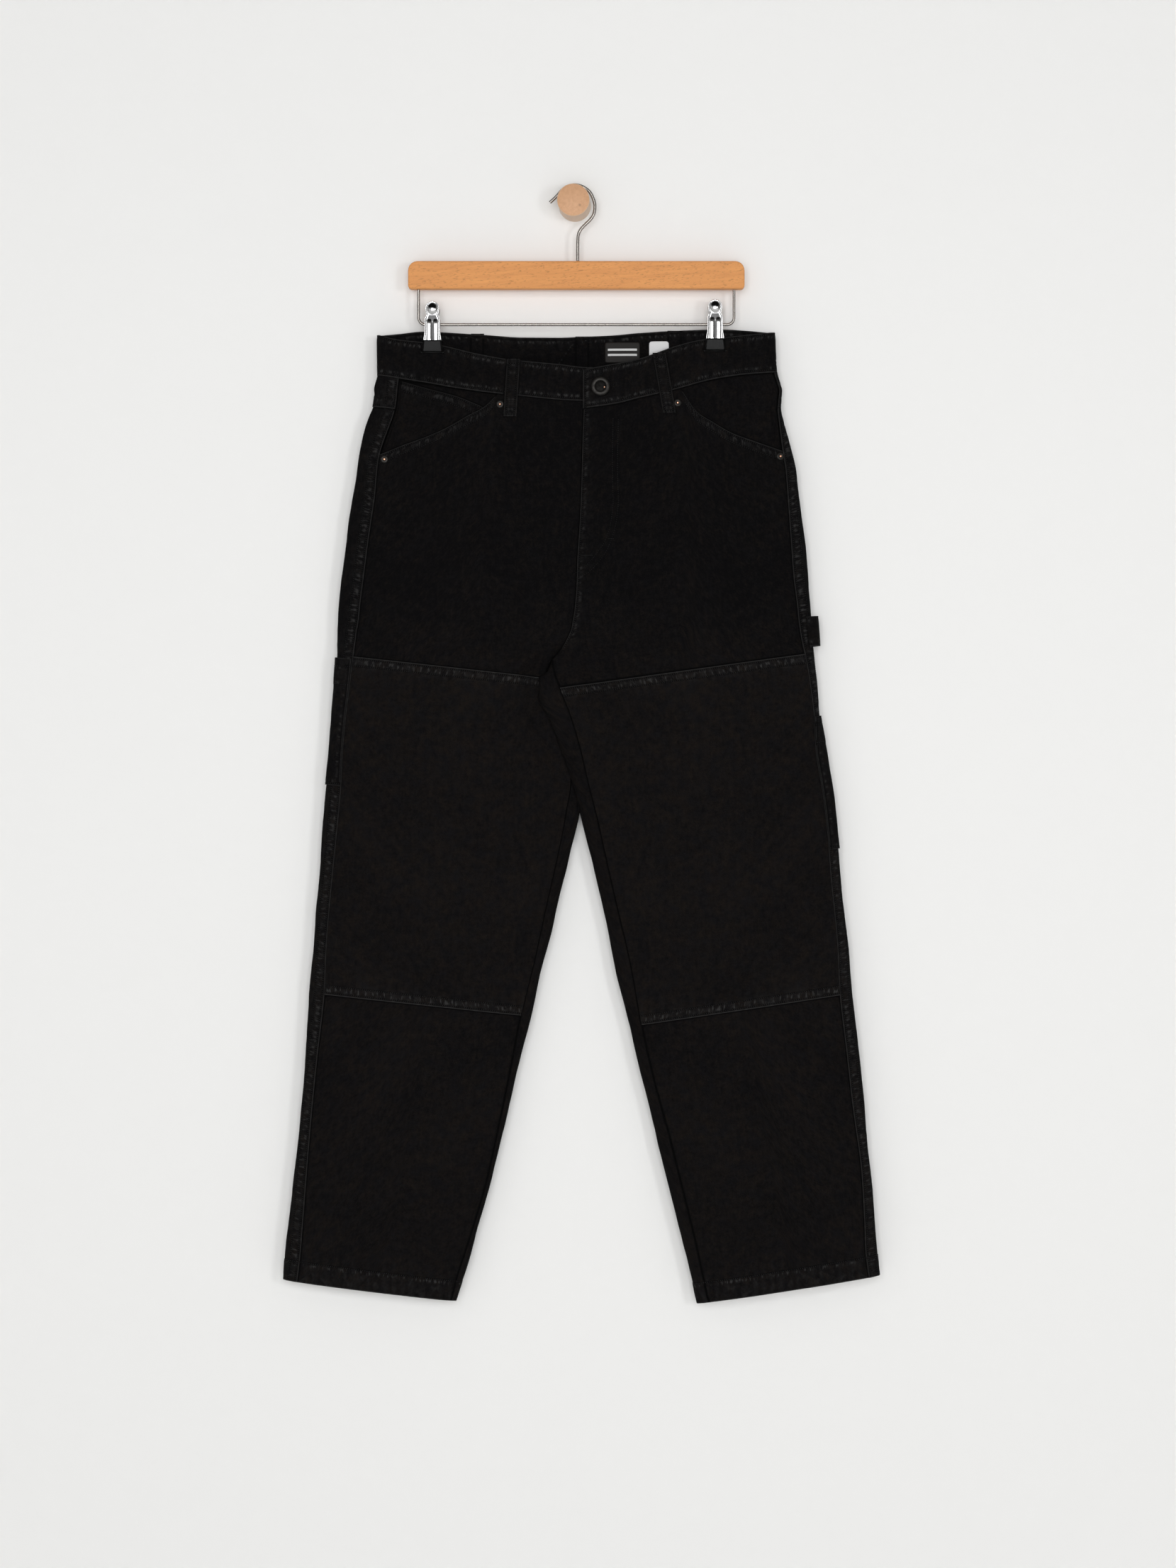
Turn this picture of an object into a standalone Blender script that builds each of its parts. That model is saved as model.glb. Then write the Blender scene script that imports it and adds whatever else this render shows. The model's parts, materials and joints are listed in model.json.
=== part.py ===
"""Carpenter pants hung by the waistband from a clip hanger whose hook lies on a round wall peg.

Frame: +Z up, the wall is the plane Y = 0 and the pants hang in front of it at -Y. The origin is the middle
of the peg's flat back face. Lengths are in millimetres until a mesh is made, then in metres. "Right" and
"left" are the wearer's, so the right leg is at -X.

Every panel is a grid of points: its rows run across the leg at the places in the leg tables, its columns run
from waist to hem. A front goes from the outseam to the centre or the inseam. A back starts at the same
outseam, turns round the outer fold, crosses behind, and turns round the inner fold to the inseam.
"""

import math
from collections import namedtuple

import bmesh
import bpy
import numpy as np
from mathutils import Vector

MM = 0.001

# Sizes of the cloth and of the clearances between pieces
CLOTH = 1.2
BAND_CLOTH = 2.4
LAYER_CLOTH = 1.0
GAP = 0.3
SEAM_INSET = 0.15
CROTCH_INSET = 0.7
HEM_EXTRA = 0.6
FELL_EXTRA = 0.3
MIDDLE_Y = -21.0
SIDE_POWER = 2.6
LEG_CLEARANCE = 0.2
CROTCH_RUN = 22.0
CROTCH_SHARES = (0.34, 0.67, 1.0)
FLY_STEP = 1.5
FLY_WIDTH = 45.0
FLY_END_Z = -450.0

# Hardware
PEG_RADIUS = 17.0
PEG_LENGTH = 38.0
BAR = {"x": (-177.4, 180.5), "z": (-93.1, -63.5), "thick": 12.0, "top_round": 10.0, "low_round": 4.0}
HOOK_RADIUS = 1.7
HOOK_BEND = 22.0
HOOK_CENTRE = (0.2, -2.9)
HOOK_STEM_X = 3.0
WIRE_RADIUS = 1.5
WIRE_X = (-166.4, 169.5)
WIRE_Z = -130.5
WIRE_BEND = 7.5
CLIPS = {"right": (-151.5, -106.8, -160.7), "left": (149.2, -104.8, -158.9)}
CLIP_WIDTH = 18.6
CLIP_HEAD = 15.0
CLIP_TIP = 1.5
PINCHED = 1.6
JAW_THICK = 1.2
JAW_ABOVE_PAD = 1.0
PAD_WIDTH = 21.5
PAD_HEIGHT = 12.8
PAD_THICK = 2.0
SPRING_LENGTH = 12.0
SPRING_BORE = 2.0

# One row across a half of the pants. The row is a straight line from the outer fold (x_out, z_out) to the
# inner fold or the centre seam (x_in, z_in); x_seam and x_inseam are where the side seam and the inseam
# show in front. depth is half the thickness at the outer part and depth_in at the inner end. lean shifts
# the inner part towards the wall or the viewer, from x = lean_from on and wholly at x = lean_full. waist
# is how much of the row's depth follows the waistband.
Row = namedtuple("Row", "place z_out x_out x_seam z_in x_in x_inseam depth depth_in lean lean_from lean_full waist")

RIGHT_LEG = (
    Row("waist", -184.8, -209.5, -187.2, -213.5, 9.5, 9.5, 12.0, 12.0, 0, 0, 0, 1.0),
    Row("yoke", -218.0, -217.4, -191.7, -246.7, 8.5, 8.5, 13.0, 14.0, 0, 0, 0, 0.6),
    Row("pocket", -269.4, -228.7, -207.6, -295.1, 7.1, 7.1, 15.0, 16.0, 0, 0, 0, 0.25),
    Row("seat", -313.2, -235.9, -212.3, -337.3, 5.5, 5.5, 16.0, 16.5, 0, 0, 0, 0),
    Row("rise", -358.5, -242.3, -218.9, -381.1, 2.7, 2.7, 16.5, 16.5, 0, 0, 0, 0),
    Row("rise_low", -400.0, -247.5, -224.2, -420.4, 1.1, 1.1, 16.0, 15.0, 0, 0, 0, 0),
    Row("curve", -426.4, -250.2, -227.6, -444.5, -1.9, -1.9, 15.5, 12.5, 0, 0, 0, 0),
    Row("curve_low", -447.6, -251.8, -229.9, -463.4, -7.1, -7.1, 15.0, 10.0, 0.05, -30.9, -8.3, 0),
    Row("under", -456.6, -252.1, -231.8, -477.0, -14.7, -14.7, 14.5, 8.0, 0.2, -42.2, -19.6, 0),
    Row("fork", -464.2, -252.1, -232.5, -487.3, -24.1, -24.1, 14.0, 6.5, 0.5, -49.8, -33.9, 0),
    Row("notch", -470.2, -252.3, -233.3, -497.0, -26.4, -29.4, 13.5, 6.5, 1.0, -58.0, -40.0, 0),
    Row("patch", -481.9, -252.5, -234.8, -507.2, -23.4, -27.1, 13.0, 6.5, 1.0, -62.0, -43.0, 0),
    Row("thigh_1", -513.2, -254.4, -238.5, -539.7, -10.5, -18.1, 12.5, 6.5, 1.0, -58.0, -38.0, 0),
    Row("thigh_2", -547.2, -257.0, -242.7, -574.4, 0.0, -10.9, 12.5, 6.5, 1.0, -50.0, -26.0, 0),
    Row("thigh_3", -585.0, -260.1, -246.1, -613.7, 6.1, -4.5, 12.5, 7.0, 1.0, -42.0, -12.0, 0),
    Row("thigh_4", -622.7, -263.8, -248.0, -652.2, 4.6, -10.2, 12.5, 8.0, 0.8, -37.0, 3.1, 0),
    Row("thigh_5", -668.0, -268.4, -252.1, -695.2, -6.0, -18.5, 12.5, 9.5, 0.4, -37.0, -8.3, 0),
    Row("thigh_6", -720.9, -271.8, -257.4, -747.3, -18.5, -30.2, 12.5, 11.0, 0.1, -40.7, -19.6, 0),
    Row("knee_top", -781.3, -277.1, -262.7, -806.2, -33.2, -43.0, 12.5, 12.5, 0, 0, 0, 0),
    Row("knee", -842.0, -282.3, -265.7, -867.0, -47.5, -57.6, 13.0, 13.0, 0, 0, 0, 0),
    Row("shin_1", -902.1, -286.1, -272.5, -925.5, -61.9, -69.0, 12.5, 12.5, 0, 0, 0, 0),
    Row("shin_2", -962.5, -290.6, -278.6, -985.9, -75.8, -81.5, 12.0, 12.0, 0, 0, 0, 0),
    Row("shin_3", -1022.9, -297.1, -283.8, -1046.3, -90.9, -95.1, 12.0, 12.0, 0, 0, 0, 0),
    Row("shin_4", -1083.3, -304.2, -288.4, -1106.7, -107.6, -113.2, 12.5, 12.5, 0, 0, 0, 0),
    Row("hem_top", -1124.8, -308.4, -291.8, -1147.1, -120.0, -126.1, 13.5, 13.5, 0, 0, 0, 0),
    Row("hem", -1146.7, -310.3, -294.4, -1169.3, -126.8, -132.1, 14.0, 14.0, 0, 0, 0, 0),
)
LEFT_LEG = (
    Row("waist", -181.6, 214.5, 211.8, -221.8, 9.5, 9.5, 12.0, 12.0, 0, 0, 0, 1.0),
    Row("yoke", -218.0, 222.8, 220.1, -246.7, 8.5, 8.5, 13.0, 14.0, 0, 0, 0, 0.6),
    Row("pocket", -265.6, 231.4, 222.8, -295.1, 7.1, 7.1, 15.0, 16.0, 0, 0, 0, 0.25),
    Row("seat", -313.2, 238.6, 225.9, -337.3, 5.5, 5.5, 16.0, 16.5, 0, 0, 0, 0),
    Row("rise", -358.5, 243.9, 229.2, -381.1, 2.7, 2.7, 16.5, 16.5, 0, 0, 0, 0),
    Row("rise_low", -400.0, 247.5, 232.3, -420.4, 1.1, 1.1, 16.0, 15.0, 0, 0, 0, 0),
    Row("curve", -426.4, 249.6, 235.7, -444.5, -1.9, -1.9, 15.5, 12.5, 0, 0, 0, 0),
    Row("curve_low", -447.6, 251.4, 237.9, -463.4, -7.1, -7.1, 15.0, 10.0, 0.05, 21.9, -6.0, 0),
    Row("under", -456.6, 252.1, 239.2, -477.0, -14.7, -14.7, 14.5, 8.0, 0.2, 18.2, -12.0, 0),
    Row("fork", -464.2, 252.6, 240.5, -487.3, -24.1, -24.1, 14.0, 6.5, 0.5, 15.9, -17.3, 0),
    Row("notch", -470.2, 253.0, 241.6, -501.9, -33.2, -21.9, 13.5, 6.5, 1.0, 18.9, -17.3, 0),
    Row("patch", -479.6, 253.7, 243.9, -520.0, -37.7, -15.8, 13.0, 6.5, 1.0, 21.9, -14.3, 0),
    Row("thigh_1", -511.0, 256.7, 249.2, -551.0, -26.8, -3.7, 12.5, 6.5, 1.0, 29.5, -3.7, 0),
    Row("thigh_2", -547.2, 259.4, 253.7, -585.0, -14.3, 6.5, 12.5, 6.5, 1.0, 38.5, 5.3, 0),
    Row("thigh_3", -585.0, 265.8, 255.6, -621.2, -1.5, 15.1, 12.5, 7.0, 1.0, 46.1, 11.4, 0),
    Row("thigh_4", -622.7, 272.6, 262.0, -657.5, 7.6, 24.2, 12.5, 8.0, 0.8, 52.1, 15.9, 0),
    Row("thigh_5", -668.0, 277.5, 267.7, -701.2, 18.9, 34.0, 12.5, 9.5, 0.4, 59.7, 25.7, 0),
    Row("thigh_6", -720.9, 283.2, 271.8, -754.1, 31.0, 46.1, 12.5, 11.0, 0.1, 67.2, 37.0, 0),
    Row("knee_top", -781.3, 289.2, 277.9, -813.0, 43.4, 59.7, 12.5, 12.5, 0, 0, 0, 0),
    Row("knee", -842.4, 295.2, 281.3, -877.9, 58.9, 71.4, 13.0, 13.0, 0, 0, 0, 0),
    Row("shin_1", -902.1, 302.0, 288.4, -936.8, 72.9, 84.6, 12.5, 12.5, 0, 0, 0, 0),
    Row("shin_2", -962.5, 308.1, 295.2, -994.9, 87.2, 100.4, 12.0, 12.0, 0, 0, 0, 0),
    Row("shin_3", -1022.9, 313.0, 303.5, -1053.1, 101.6, 114.8, 12.0, 12.0, 0, 0, 0, 0),
    Row("shin_4", -1083.3, 318.6, 307.3, -1111.2, 115.9, 129.1, 12.5, 12.5, 0, 0, 0, 0),
    Row("hem_top", -1119.5, 322.0, 308.8, -1149.7, 126.1, 137.4, 13.5, 13.5, 0, 0, 0, 0),
    Row("hem", -1142.2, 324.3, 311.8, -1172.0, 131.4, 142.7, 14.0, 14.0, 0, 0, 0, 0),
)
PLACES = [row.place for row in RIGHT_LEG]

# The centre back seam, from the waist down to where it passes under the crotch: (place, x, z)
BACK_SEAM = {
    "waist": (7.6, -182.6),
    "yoke": (7.2, -246.7),
    "pocket": (6.8, -305.6),
    "seat": (5.3, -347.1),
    "rise": (2.7, -388.7),
    "rise_low": (1.1, -426.4),
    "curve": (-1.5, -450.6),
    "curve_low": (-6.8, -468.5),
    "under": (-14.3, -480.5),
    "fork": (-24.5, -491.5),
}

# Edges of the waistband and pockets as (x, z), from -X to +X
BAND_TOP_RIGHT = ((-209.0, -141.9), (-189.5, -146.7), (-162.3, -149.3), (-139.6, -153.1), (-107.2, -161.4),
                  (-71.7, -168.6), (-57.3, -170.4), (-18.1, -174.5), (15.9, -178.0), (60.0, -178.0))
BAND_LOW_RIGHT = ((-209.5, -184.8), (-185.7, -188.6), (-159.3, -192.4), (-119.3, -199.6), (-74.0, -206.0),
                  (9.5, -213.5), (60.0, -213.5))
BAND_TOP_LEFT = ((6.8, -181.0), (33.3, -176.1), (67.2, -169.0), (82.3, -163.6), (112.0, -152.6),
                 (135.2, -146.6), (158.6, -144.1), (182.0, -142.2), (214.0, -139.2))
BAND_LOW_LEFT = ((9.5, -221.8), (44.6, -216.5), (67.2, -210.5), (91.4, -204.5), (106.5, -200.4),
                 (142.7, -189.8), (174.4, -184.6), (214.5, -181.6))
BAND_TOP_BACK = ((-209.0, -141.9), (-189.5, -140.3), (-160.8, -138.0), (-138.1, -138.8), (-95.1, -141.0),
                 (-55.8, -143.4), (-18.1, -143.4), (7.6, -142.5), (41.6, -141.0), (67.2, -138.8),
                 (112.5, -136.5), (158.6, -135.7), (182.0, -136.5), (214.0, -139.2))
BAND_LOW_BACK = ((-209.5, -184.8), (-160.0, -180.0), (7.6, -182.6), (160.0, -178.0), (214.5, -181.6))
POCKET_MOUTH = {
    "right": ((-206.1, -269.4), (-183.4, -260.3), (-157.0, -250.5), (-132.8, -239.2), (-114.0, -228.6),
              (-96.6, -219.6), (-83.8, -207.5)),
    "left": ((113.8, -201.5), (129.9, -224.1), (148.8, -236.2), (165.4, -246.0), (193.3, -256.5),
             (222.4, -266.2)),
}
COIN_POCKET_TOP = ((-185.7, -190.9), (-157.0, -198.4), (-126.8, -206.8), (-96.6, -219.6))

# How far the middle of the waistband's cloth stands from the middle plane: (x, in front, behind)
BAND_DEPTH = ((-209.5, 0.0, 0.0), (-208.2, 2.6, 2.6), (-202.0, 4.6, 4.6), (-186.0, 4.4, 4.4),
              (-166.0, 1.8, 1.8), (-163.0, 1.6, 1.6), (-140.0, 1.6, 1.6), (-137.0, 1.8, 1.8),
              (-112.0, 5.6, 4.4), (-72.0, 11.0, 6.4), (-20.0, 15.0, 8.0), (20.0, 15.6, 8.0),
              (66.0, 12.6, 7.0), (110.0, 6.6, 4.6), (135.0, 1.8, 1.8), (138.0, 1.6, 1.6),
              (160.5, 1.6, 1.6), (164.0, 1.8, 1.8), (188.0, 4.4, 4.4), (206.0, 4.6, 4.6),
              (213.2, 2.6, 2.6), (214.5, 0.0, 0.0))
FLAP_EXTRA = ((8.0, 3.0), (50.0, 2.9), (95.0, 0.0))
UNDERLAP_END = 48.0

# Columns of the grids, as shares of the way
FRONT_SHARES = (0.0, 0.035, 0.1, 0.2, 0.32, 0.42, None, 0.6, 0.7, 0.8, 0.9, 0.965, 1.0)
POCKET_COLUMN = 6
POCKET_SHARE = {"right": 0.525, "left": 0.484}
SIDE_SHARES = (1.0, 0.45, 0.12)
BACK_SHARES = (0.0, 0.010, 0.04, 0.1, 0.19, 0.3, 0.42, 0.55, 0.68, 0.8, 0.9, 0.96, 0.99, 1.0)
INNER_SHARES = (0.12, 0.5, 1.0)
TOOL_POCKET_COLUMN = 9

# Pieces laid on the legs: heights at the outer fold
TOOL_POCKET = {"right": (-485.0, -620.5), "left": (-547.2, -688.4)}
HAMMER_LOOP = (-441.5, -473.2)
HAMMER_LOOP_OUT = 7.0
HAMMER_LOOP_CLOTH = 1.5

# How far the pieces in the pocket mouths reach below the mouth
FACING_BELOW_MOUTH = 30.0
COIN_POCKET_BELOW_MOUTH = 16.0

# Belt loops: (name, x at the top, x at the bottom, z at the top, z at the bottom, side)
LOOP_WIDTH = 13.6
LOOP_CLOTH = 1.6
LOOP_ROWS = 8
LOOP_STANDS_OFF = 1.2
LOOPS = (
    ("belt_loop_front_right", -65.0, -68.8, -169.0, -229.8, -1),
    ("belt_loop_front_left", 89.5, 100.5, -162.4, -225.8, -1),
    ("belt_loop_back_right", -104.0, -106.0, -139.0, -198.0, 1),
    ("belt_loop_back_centre", 7.6, 7.6, -141.6, -201.0, 1),
    ("belt_loop_back_left", 106.0, 108.0, -135.8, -195.0, 1),
)
RIVETS = {
    "rivet_right_top": ("right", -79.4, -216.5),
    "rivet_right_low": ("right", -202.3, -274.7),
    "rivet_left_top": ("left", 109.2, -214.6),
    "rivet_left_low": ("left", 218.6, -271.3),
}
RIVET_RIM = 3.9
BUTTON = (27.2, -198.6)
LABELS = {"label_main": (32.1, 69.3, -148.6, -170.2), "label_size": (79.3, 100.1, -147.8, -166.0)}

COLOURS = {
    "twill": ((0.018, 0.018, 0.021), 0.85, 0.0),
    "label": ((0.03, 0.03, 0.033), 0.8, 0.0),
    "size_label": ((0.42, 0.42, 0.44), 0.7, 0.0),
    "gunmetal": ((0.09, 0.085, 0.08), 0.35, 0.9),
    "copper": ((0.36, 0.19, 0.11), 0.35, 0.9),
    "chrome": ((0.62, 0.62, 0.64), 0.18, 1.0),
    "rubber": ((0.03, 0.03, 0.032), 0.6, 0.0),
    "beech": ((0.66, 0.38, 0.19), 0.42, 0.0),
    "pale_beech": ((0.74, 0.55, 0.36), 0.5, 0.0),
}


def clear_scene():
    for thing in list(bpy.data.objects):
        bpy.data.objects.remove(thing, do_unlink=True)


def material(name):
    made = bpy.data.materials.get(name)
    if made:
        return made
    colour, roughness, metallic = COLOURS[name]
    made = bpy.data.materials.new(name)
    made.use_nodes = True
    shader = made.node_tree.nodes["Principled BSDF"]
    shader.inputs["Base Color"].default_value = (*colour, 1.0)
    shader.inputs["Roughness"].default_value = roughness
    shader.inputs["Metallic"].default_value = metallic
    return made


def place(name, mesh, finish, collection):
    """Puts a mesh or curve in the part's collection as one named piece."""
    piece = bpy.data.objects.new(name, mesh)
    piece.data.materials.append(material(finish))
    collection.objects.link(piece)
    return piece


def edge_height(edge, x):
    """Height of an edge given as (x, z) points."""
    return np.interp(x, [point[0] for point in edge], [point[1] for point in edge])


def band_offset(x, side):
    """Distance of the waistband's middle from the middle plane, in front (-1) or behind (+1)."""
    column = 1 if side < 0 else 2
    return np.interp(x, [row[0] for row in BAND_DEPTH], [row[column] for row in BAND_DEPTH])


def flap_offset(x):
    """How much further out the lapped end of the waistband lies."""
    return np.interp(x, [row[0] for row in FLAP_EXTRA], [row[1] for row in FLAP_EXTRA])


def smooth_step(value):
    value = np.clip(value, 0.0, 1.0)
    return value * value * (3.0 - 2.0 * value)


class Half:
    """One half of the pants: its rows, and the points of its front and back on them."""

    def __init__(self, name, rows):
        self.name = name
        self.rows = rows
        self.behind = 1.0 if name == "right" else -1.0
        self.lean_clear = CLOTH / 2 + GAP / 2 + LEG_CLEARANCE + (LAYER_CLOTH + GAP if name == "right" else 0.0)
        self.front = np.array([self.front_row(row) for row in rows])
        self.back = np.array([self.back_row(row) for row in rows])

    def is_hip(self, row):
        return row.place in BACK_SEAM

    def half_depth(self, row, x, x_end):
        """Half the thickness of the flat tube at x: round at its folds and nearly flat between them."""
        share = np.clip((x - row.x_out) / (x_end - row.x_out), 0.0, 1.0)
        from_fold = 1.0 - share if self.is_hip(row) else np.abs(2.0 * share - 1.0)
        rounding = (1.0 - from_fold ** SIDE_POWER) ** (1.0 / SIDE_POWER)
        return (row.depth + (row.depth_in - row.depth) * share ** 2) * rounding

    def middle(self, row, x, deep):
        """The middle of the tube, which leans at its inner part so that one leg lies before the other."""
        if not row.lean:
            return np.full_like(x, MIDDLE_Y)
        ease = smooth_step((x - row.lean_from) / (row.lean_full - row.lean_from))
        return MIDDLE_Y + self.behind * row.lean * (deep + self.lean_clear) * ease

    def layer_y(self, row, x, x_end, side):
        """Y of the front (-1) or back (+1) layer at x."""
        deep = self.half_depth(row, x, x_end)
        at_band = band_offset(x, side)
        if self.name == "left" and side < 0 and row.z_in > FLY_END_Z:
            lap = FLY_STEP * (1.0 - smooth_step(np.abs(x - row.x_in) / FLY_WIDTH))
            at_band = at_band + lap
            deep = deep + lap
        thick = deep + (at_band - deep) * row.waist
        return self.middle(row, x, deep) + side * thick

    def line_height(self, row, x):
        return row.z_out + (row.z_in - row.z_out) * (x - row.x_out) / (row.x_in - row.x_out)

    def front_row(self, row):
        shares = np.array([POCKET_SHARE[self.name] if s is None else s for s in FRONT_SHARES])
        x = row.x_seam + shares * (row.x_inseam - row.x_seam)
        z = self.line_height(row, x)
        band = BAND_LOW_RIGHT if self.name == "right" else BAND_LOW_LEFT
        z = z + (edge_height(band, x) - self.line_height(self.rows[0], x)) * row.waist
        return np.stack([x, self.layer_y(row, x, row.x_in, -1), z], axis=1)

    def back_row(self, row):
        side_x = row.x_out + (row.x_seam - row.x_out) * np.array(SIDE_SHARES)
        side_z = self.line_height(row, side_x)
        if row.place == "waist":
            side_z = edge_height(BAND_LOW_RIGHT if self.name == "right" else BAND_LOW_LEFT, side_x)
        side = np.stack([side_x, self.layer_y(row, side_x, row.x_in, -1), side_z], axis=1)
        if not self.is_hip(row):
            x = row.x_out + (row.x_in - row.x_out) * np.array(BACK_SHARES)
            across = np.stack([x, self.layer_y(row, x, row.x_in, 1), self.line_height(row, x)], axis=1)
            x = row.x_in + (row.x_inseam - row.x_in) * np.array(INNER_SHARES)
            inner = np.stack([x, self.layer_y(row, x, row.x_in, -1), self.line_height(row, x)], axis=1)
            return np.concatenate([side, across, inner])
        seam_x, seam_z = BACK_SEAM[row.place]
        stop = seam_x - self.behind * CROTCH_RUN
        x = row.x_out + (stop - row.x_out) * np.array(BACK_SHARES)
        x = np.concatenate([x, stop + (seam_x - stop) * np.array(CROTCH_SHARES)])
        z = row.z_out + (seam_z - row.z_out) * (x - row.x_out) / (seam_x - row.x_out)
        z = z + (edge_height(BAND_LOW_BACK, x) - z) * (1.0 if row.place == "waist" else 0.0)
        across = np.stack([x, self.layer_y(row, x, seam_x, 1), z], axis=1)
        if row.place == "fork":
            across[-1] = (row.x_in, self.layer_y(row, np.array([row.x_in]), row.x_in, -1)[0], row.z_in)
            low = np.array([seam_x])
            middle = self.middle(row, low, np.array([row.depth_in]))[0]
            across[-2] = (seam_x, middle, seam_z)
        return np.concatenate([side, across])

    def at(self, x, z):
        """Y of the front layer where it is seen at (x, z)."""
        rows = [points[np.argsort(points[:, 0])] for points in self.front]
        heights = [-np.interp(x, points[:, 0], points[:, 2]) for points in rows]
        depths = [np.interp(x, points[:, 0], points[:, 1]) for points in rows]
        return np.interp(-z, heights, depths)


def outward(grid):
    """Unit normals of a grid of points, facing away from the inside of the tube it belongs to."""
    down = np.gradient(grid, axis=0)
    across = np.gradient(grid, axis=1)
    normals = np.cross(down, across)
    normals /= np.linalg.norm(normals, axis=2, keepdims=True)
    core = grid.mean(axis=1, keepdims=True)
    core[:, :, 1] = MIDDLE_Y
    return normals if (normals * (grid - core)).sum() > 0 else -normals


def pull(edge, inner, distance):
    """Moves the points of an edge towards the points beside them."""
    step = inner - edge
    edge += distance * step / np.linalg.norm(step, axis=1, keepdims=True)


def inset(grid, distance=SEAM_INSET, crotch=None):
    """Pulls all four edges of a grid in by the seam's half clearance, and by more on the crotch's rows of the
    last column, where the seam turns under."""
    grid = grid.copy()
    pull(grid[0], grid[1], distance)
    pull(grid[-1], grid[-2], distance)
    pull(grid[:, 0], grid[:, 1], distance)
    pull(grid[:, -1], grid[:, -2], distance)
    if crotch is not None:
        pull(grid[crotch, -1], grid[crotch, -2], CROTCH_INSET)
    return grid


def wall(name, grid, outer, inner, finish, collection, normals=None):
    """A closed wall of cloth between the grid moved out by outer and the grid moved out by inner."""
    normals = outward(grid) if normals is None else normals
    rows, columns = grid.shape[:2]
    outer = np.broadcast_to(outer, (rows, columns))[:, :, None]
    skin = np.concatenate([(grid + normals * outer).reshape(-1, 3), (grid + normals * inner).reshape(-1, 3)])
    half = rows * columns
    faces = []
    for row in range(rows - 1):
        for column in range(columns - 1):
            a = row * columns + column
            b, c, d = a + 1, a + columns + 1, a + columns
            faces += [(a, b, c), (a, c, d), (a + half, c + half, b + half), (a + half, d + half, c + half)]
    ring = list(range(columns))
    ring += [row * columns + columns - 1 for row in range(1, rows)]
    ring += [(rows - 1) * columns + column for column in range(columns - 2, -1, -1)]
    ring += [row * columns for row in range(rows - 2, 0, -1)]
    for start, end in zip(ring, ring[1:] + ring[:1]):
        faces += [(start, start + half, end + half), (start, end + half, end)]
    mesh = bpy.data.meshes.new(name)
    mesh.from_pydata([tuple(point) for point in skin * MM], [], faces)
    form = bmesh.new()
    form.from_mesh(mesh)
    bmesh.ops.recalc_face_normals(form, faces=form.faces)
    if form.calc_volume(signed=True) < 0:
        bmesh.ops.reverse_faces(form, faces=form.faces)
    form.to_mesh(mesh)
    form.free()
    mesh.shade_smooth()
    mesh.set_sharp_from_angle(angle=math.radians(40.0))
    return place(name, mesh, finish, collection)


def column_at(points, z):
    """Points of one column polyline at the given heights."""
    order = -points[:, 2]
    return np.stack([np.interp(-z, order, points[:, 0]), np.interp(-z, order, points[:, 1]), z], axis=1)


def panel_walls(name, grid, outside, normals, first_row, collection):
    """One long panel as three walls, hip, thigh and shin, parted where the knee patch begins and ends. Each is
    then a simple piece that leaves the leg's hollow open."""
    parts = (0, PLACES.index("patch") - first_row, PLACES.index("knee") - first_row, len(grid) - 1)
    for stretch, start, stop in zip(("hip", "thigh", "shin"), parts, parts[1:]):
        piece = grid[start:stop + 1].copy()
        if start > 0:
            pull(piece[0], piece[1], SEAM_INSET)
        if stop < len(grid) - 1:
            pull(piece[-1], piece[-2], SEAM_INSET)
        rows = slice(start, stop + 1)
        wall(f"{name}_{stretch}", piece, outside[rows], -CLOTH / 2, "twill", collection, normals[rows])


def front_panel(half, collection):
    """The front: its top edge follows the pocket mouth and then the waistband seam."""
    grid = half.front.copy()
    low = PLACES.index("rise")
    for column in range(POCKET_COLUMN):
        points = half.front[:, column]
        mouth = edge_height(POCKET_MOUTH[half.name], points[:low + 1, 0])
        top = mouth[0]
        for _ in range(6):
            top = edge_height(POCKET_MOUTH[half.name], np.interp(-top, -points[:, 2], points[:, 0]))
        shares = (points[:low + 1, 2] - points[0, 2]) / (points[low, 2] - points[0, 2])
        heights = top + (points[low, 2] - top) * shares
        grid[:low + 1, column] = column_at(points, heights)
    grid = inset(grid, crotch=slice(PLACES.index("fork"), PLACES.index("patch")))
    outside = np.full(grid.shape[:2], CLOTH / 2)
    outside[PLACES.index("hem_top") + 1:] += HEM_EXTRA
    panel_walls(f"front_{half.name}", grid, outside, outward(grid), 0, collection)


def back_pieces(half, collection):
    """The back below the yoke seam, and the yoke above it."""
    seam = PLACES.index("yoke")
    normals = outward(half.back)
    yoke = inset(half.back[:seam + 1])
    wall(f"yoke_{half.name}", yoke, CLOTH / 2, -CLOTH / 2, "twill", collection, normals[:seam + 1])
    panel = inset(half.back[seam:], crotch=slice(PLACES.index("fork") - seam, PLACES.index("patch") - seam))
    outside = np.full(panel.shape[:2], CLOTH / 2)
    outside[:, :2] += FELL_EXTRA
    outside[PLACES.index("hem_top") + 1 - seam:] += HEM_EXTRA
    panel_walls(f"back_{half.name}", panel, outside, normals[seam:], seam, collection)


def knee_patch(half, collection):
    """The second layer over the front, from above the knee to the knee seam."""
    first, last = PLACES.index("patch"), PLACES.index("knee")
    normals = outward(half.front)[first:last + 1]
    grid = inset(half.front[first:last + 1], SEAM_INSET + GAP)
    under = CLOTH / 2 + GAP
    wall(f"knee_patch_{half.name}", grid, under + LAYER_CLOTH, under, "twill", collection, normals)


def under_grid(half, columns, top, bottom, rows):
    """Points of the front layer on some columns, between two edges given as functions of x."""
    made = []
    for column in columns:
        points = half.front[:, column]
        ends = []
        for edge in (top, bottom):
            height = points[0, 2]
            for _ in range(8):
                height = edge(np.interp(-height, -points[:, 2], points[:, 0]))
            ends.append(height)
        made.append(column_at(points, np.linspace(ends[0], ends[1], rows)))
    return np.array(made).transpose(1, 0, 2)


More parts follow.
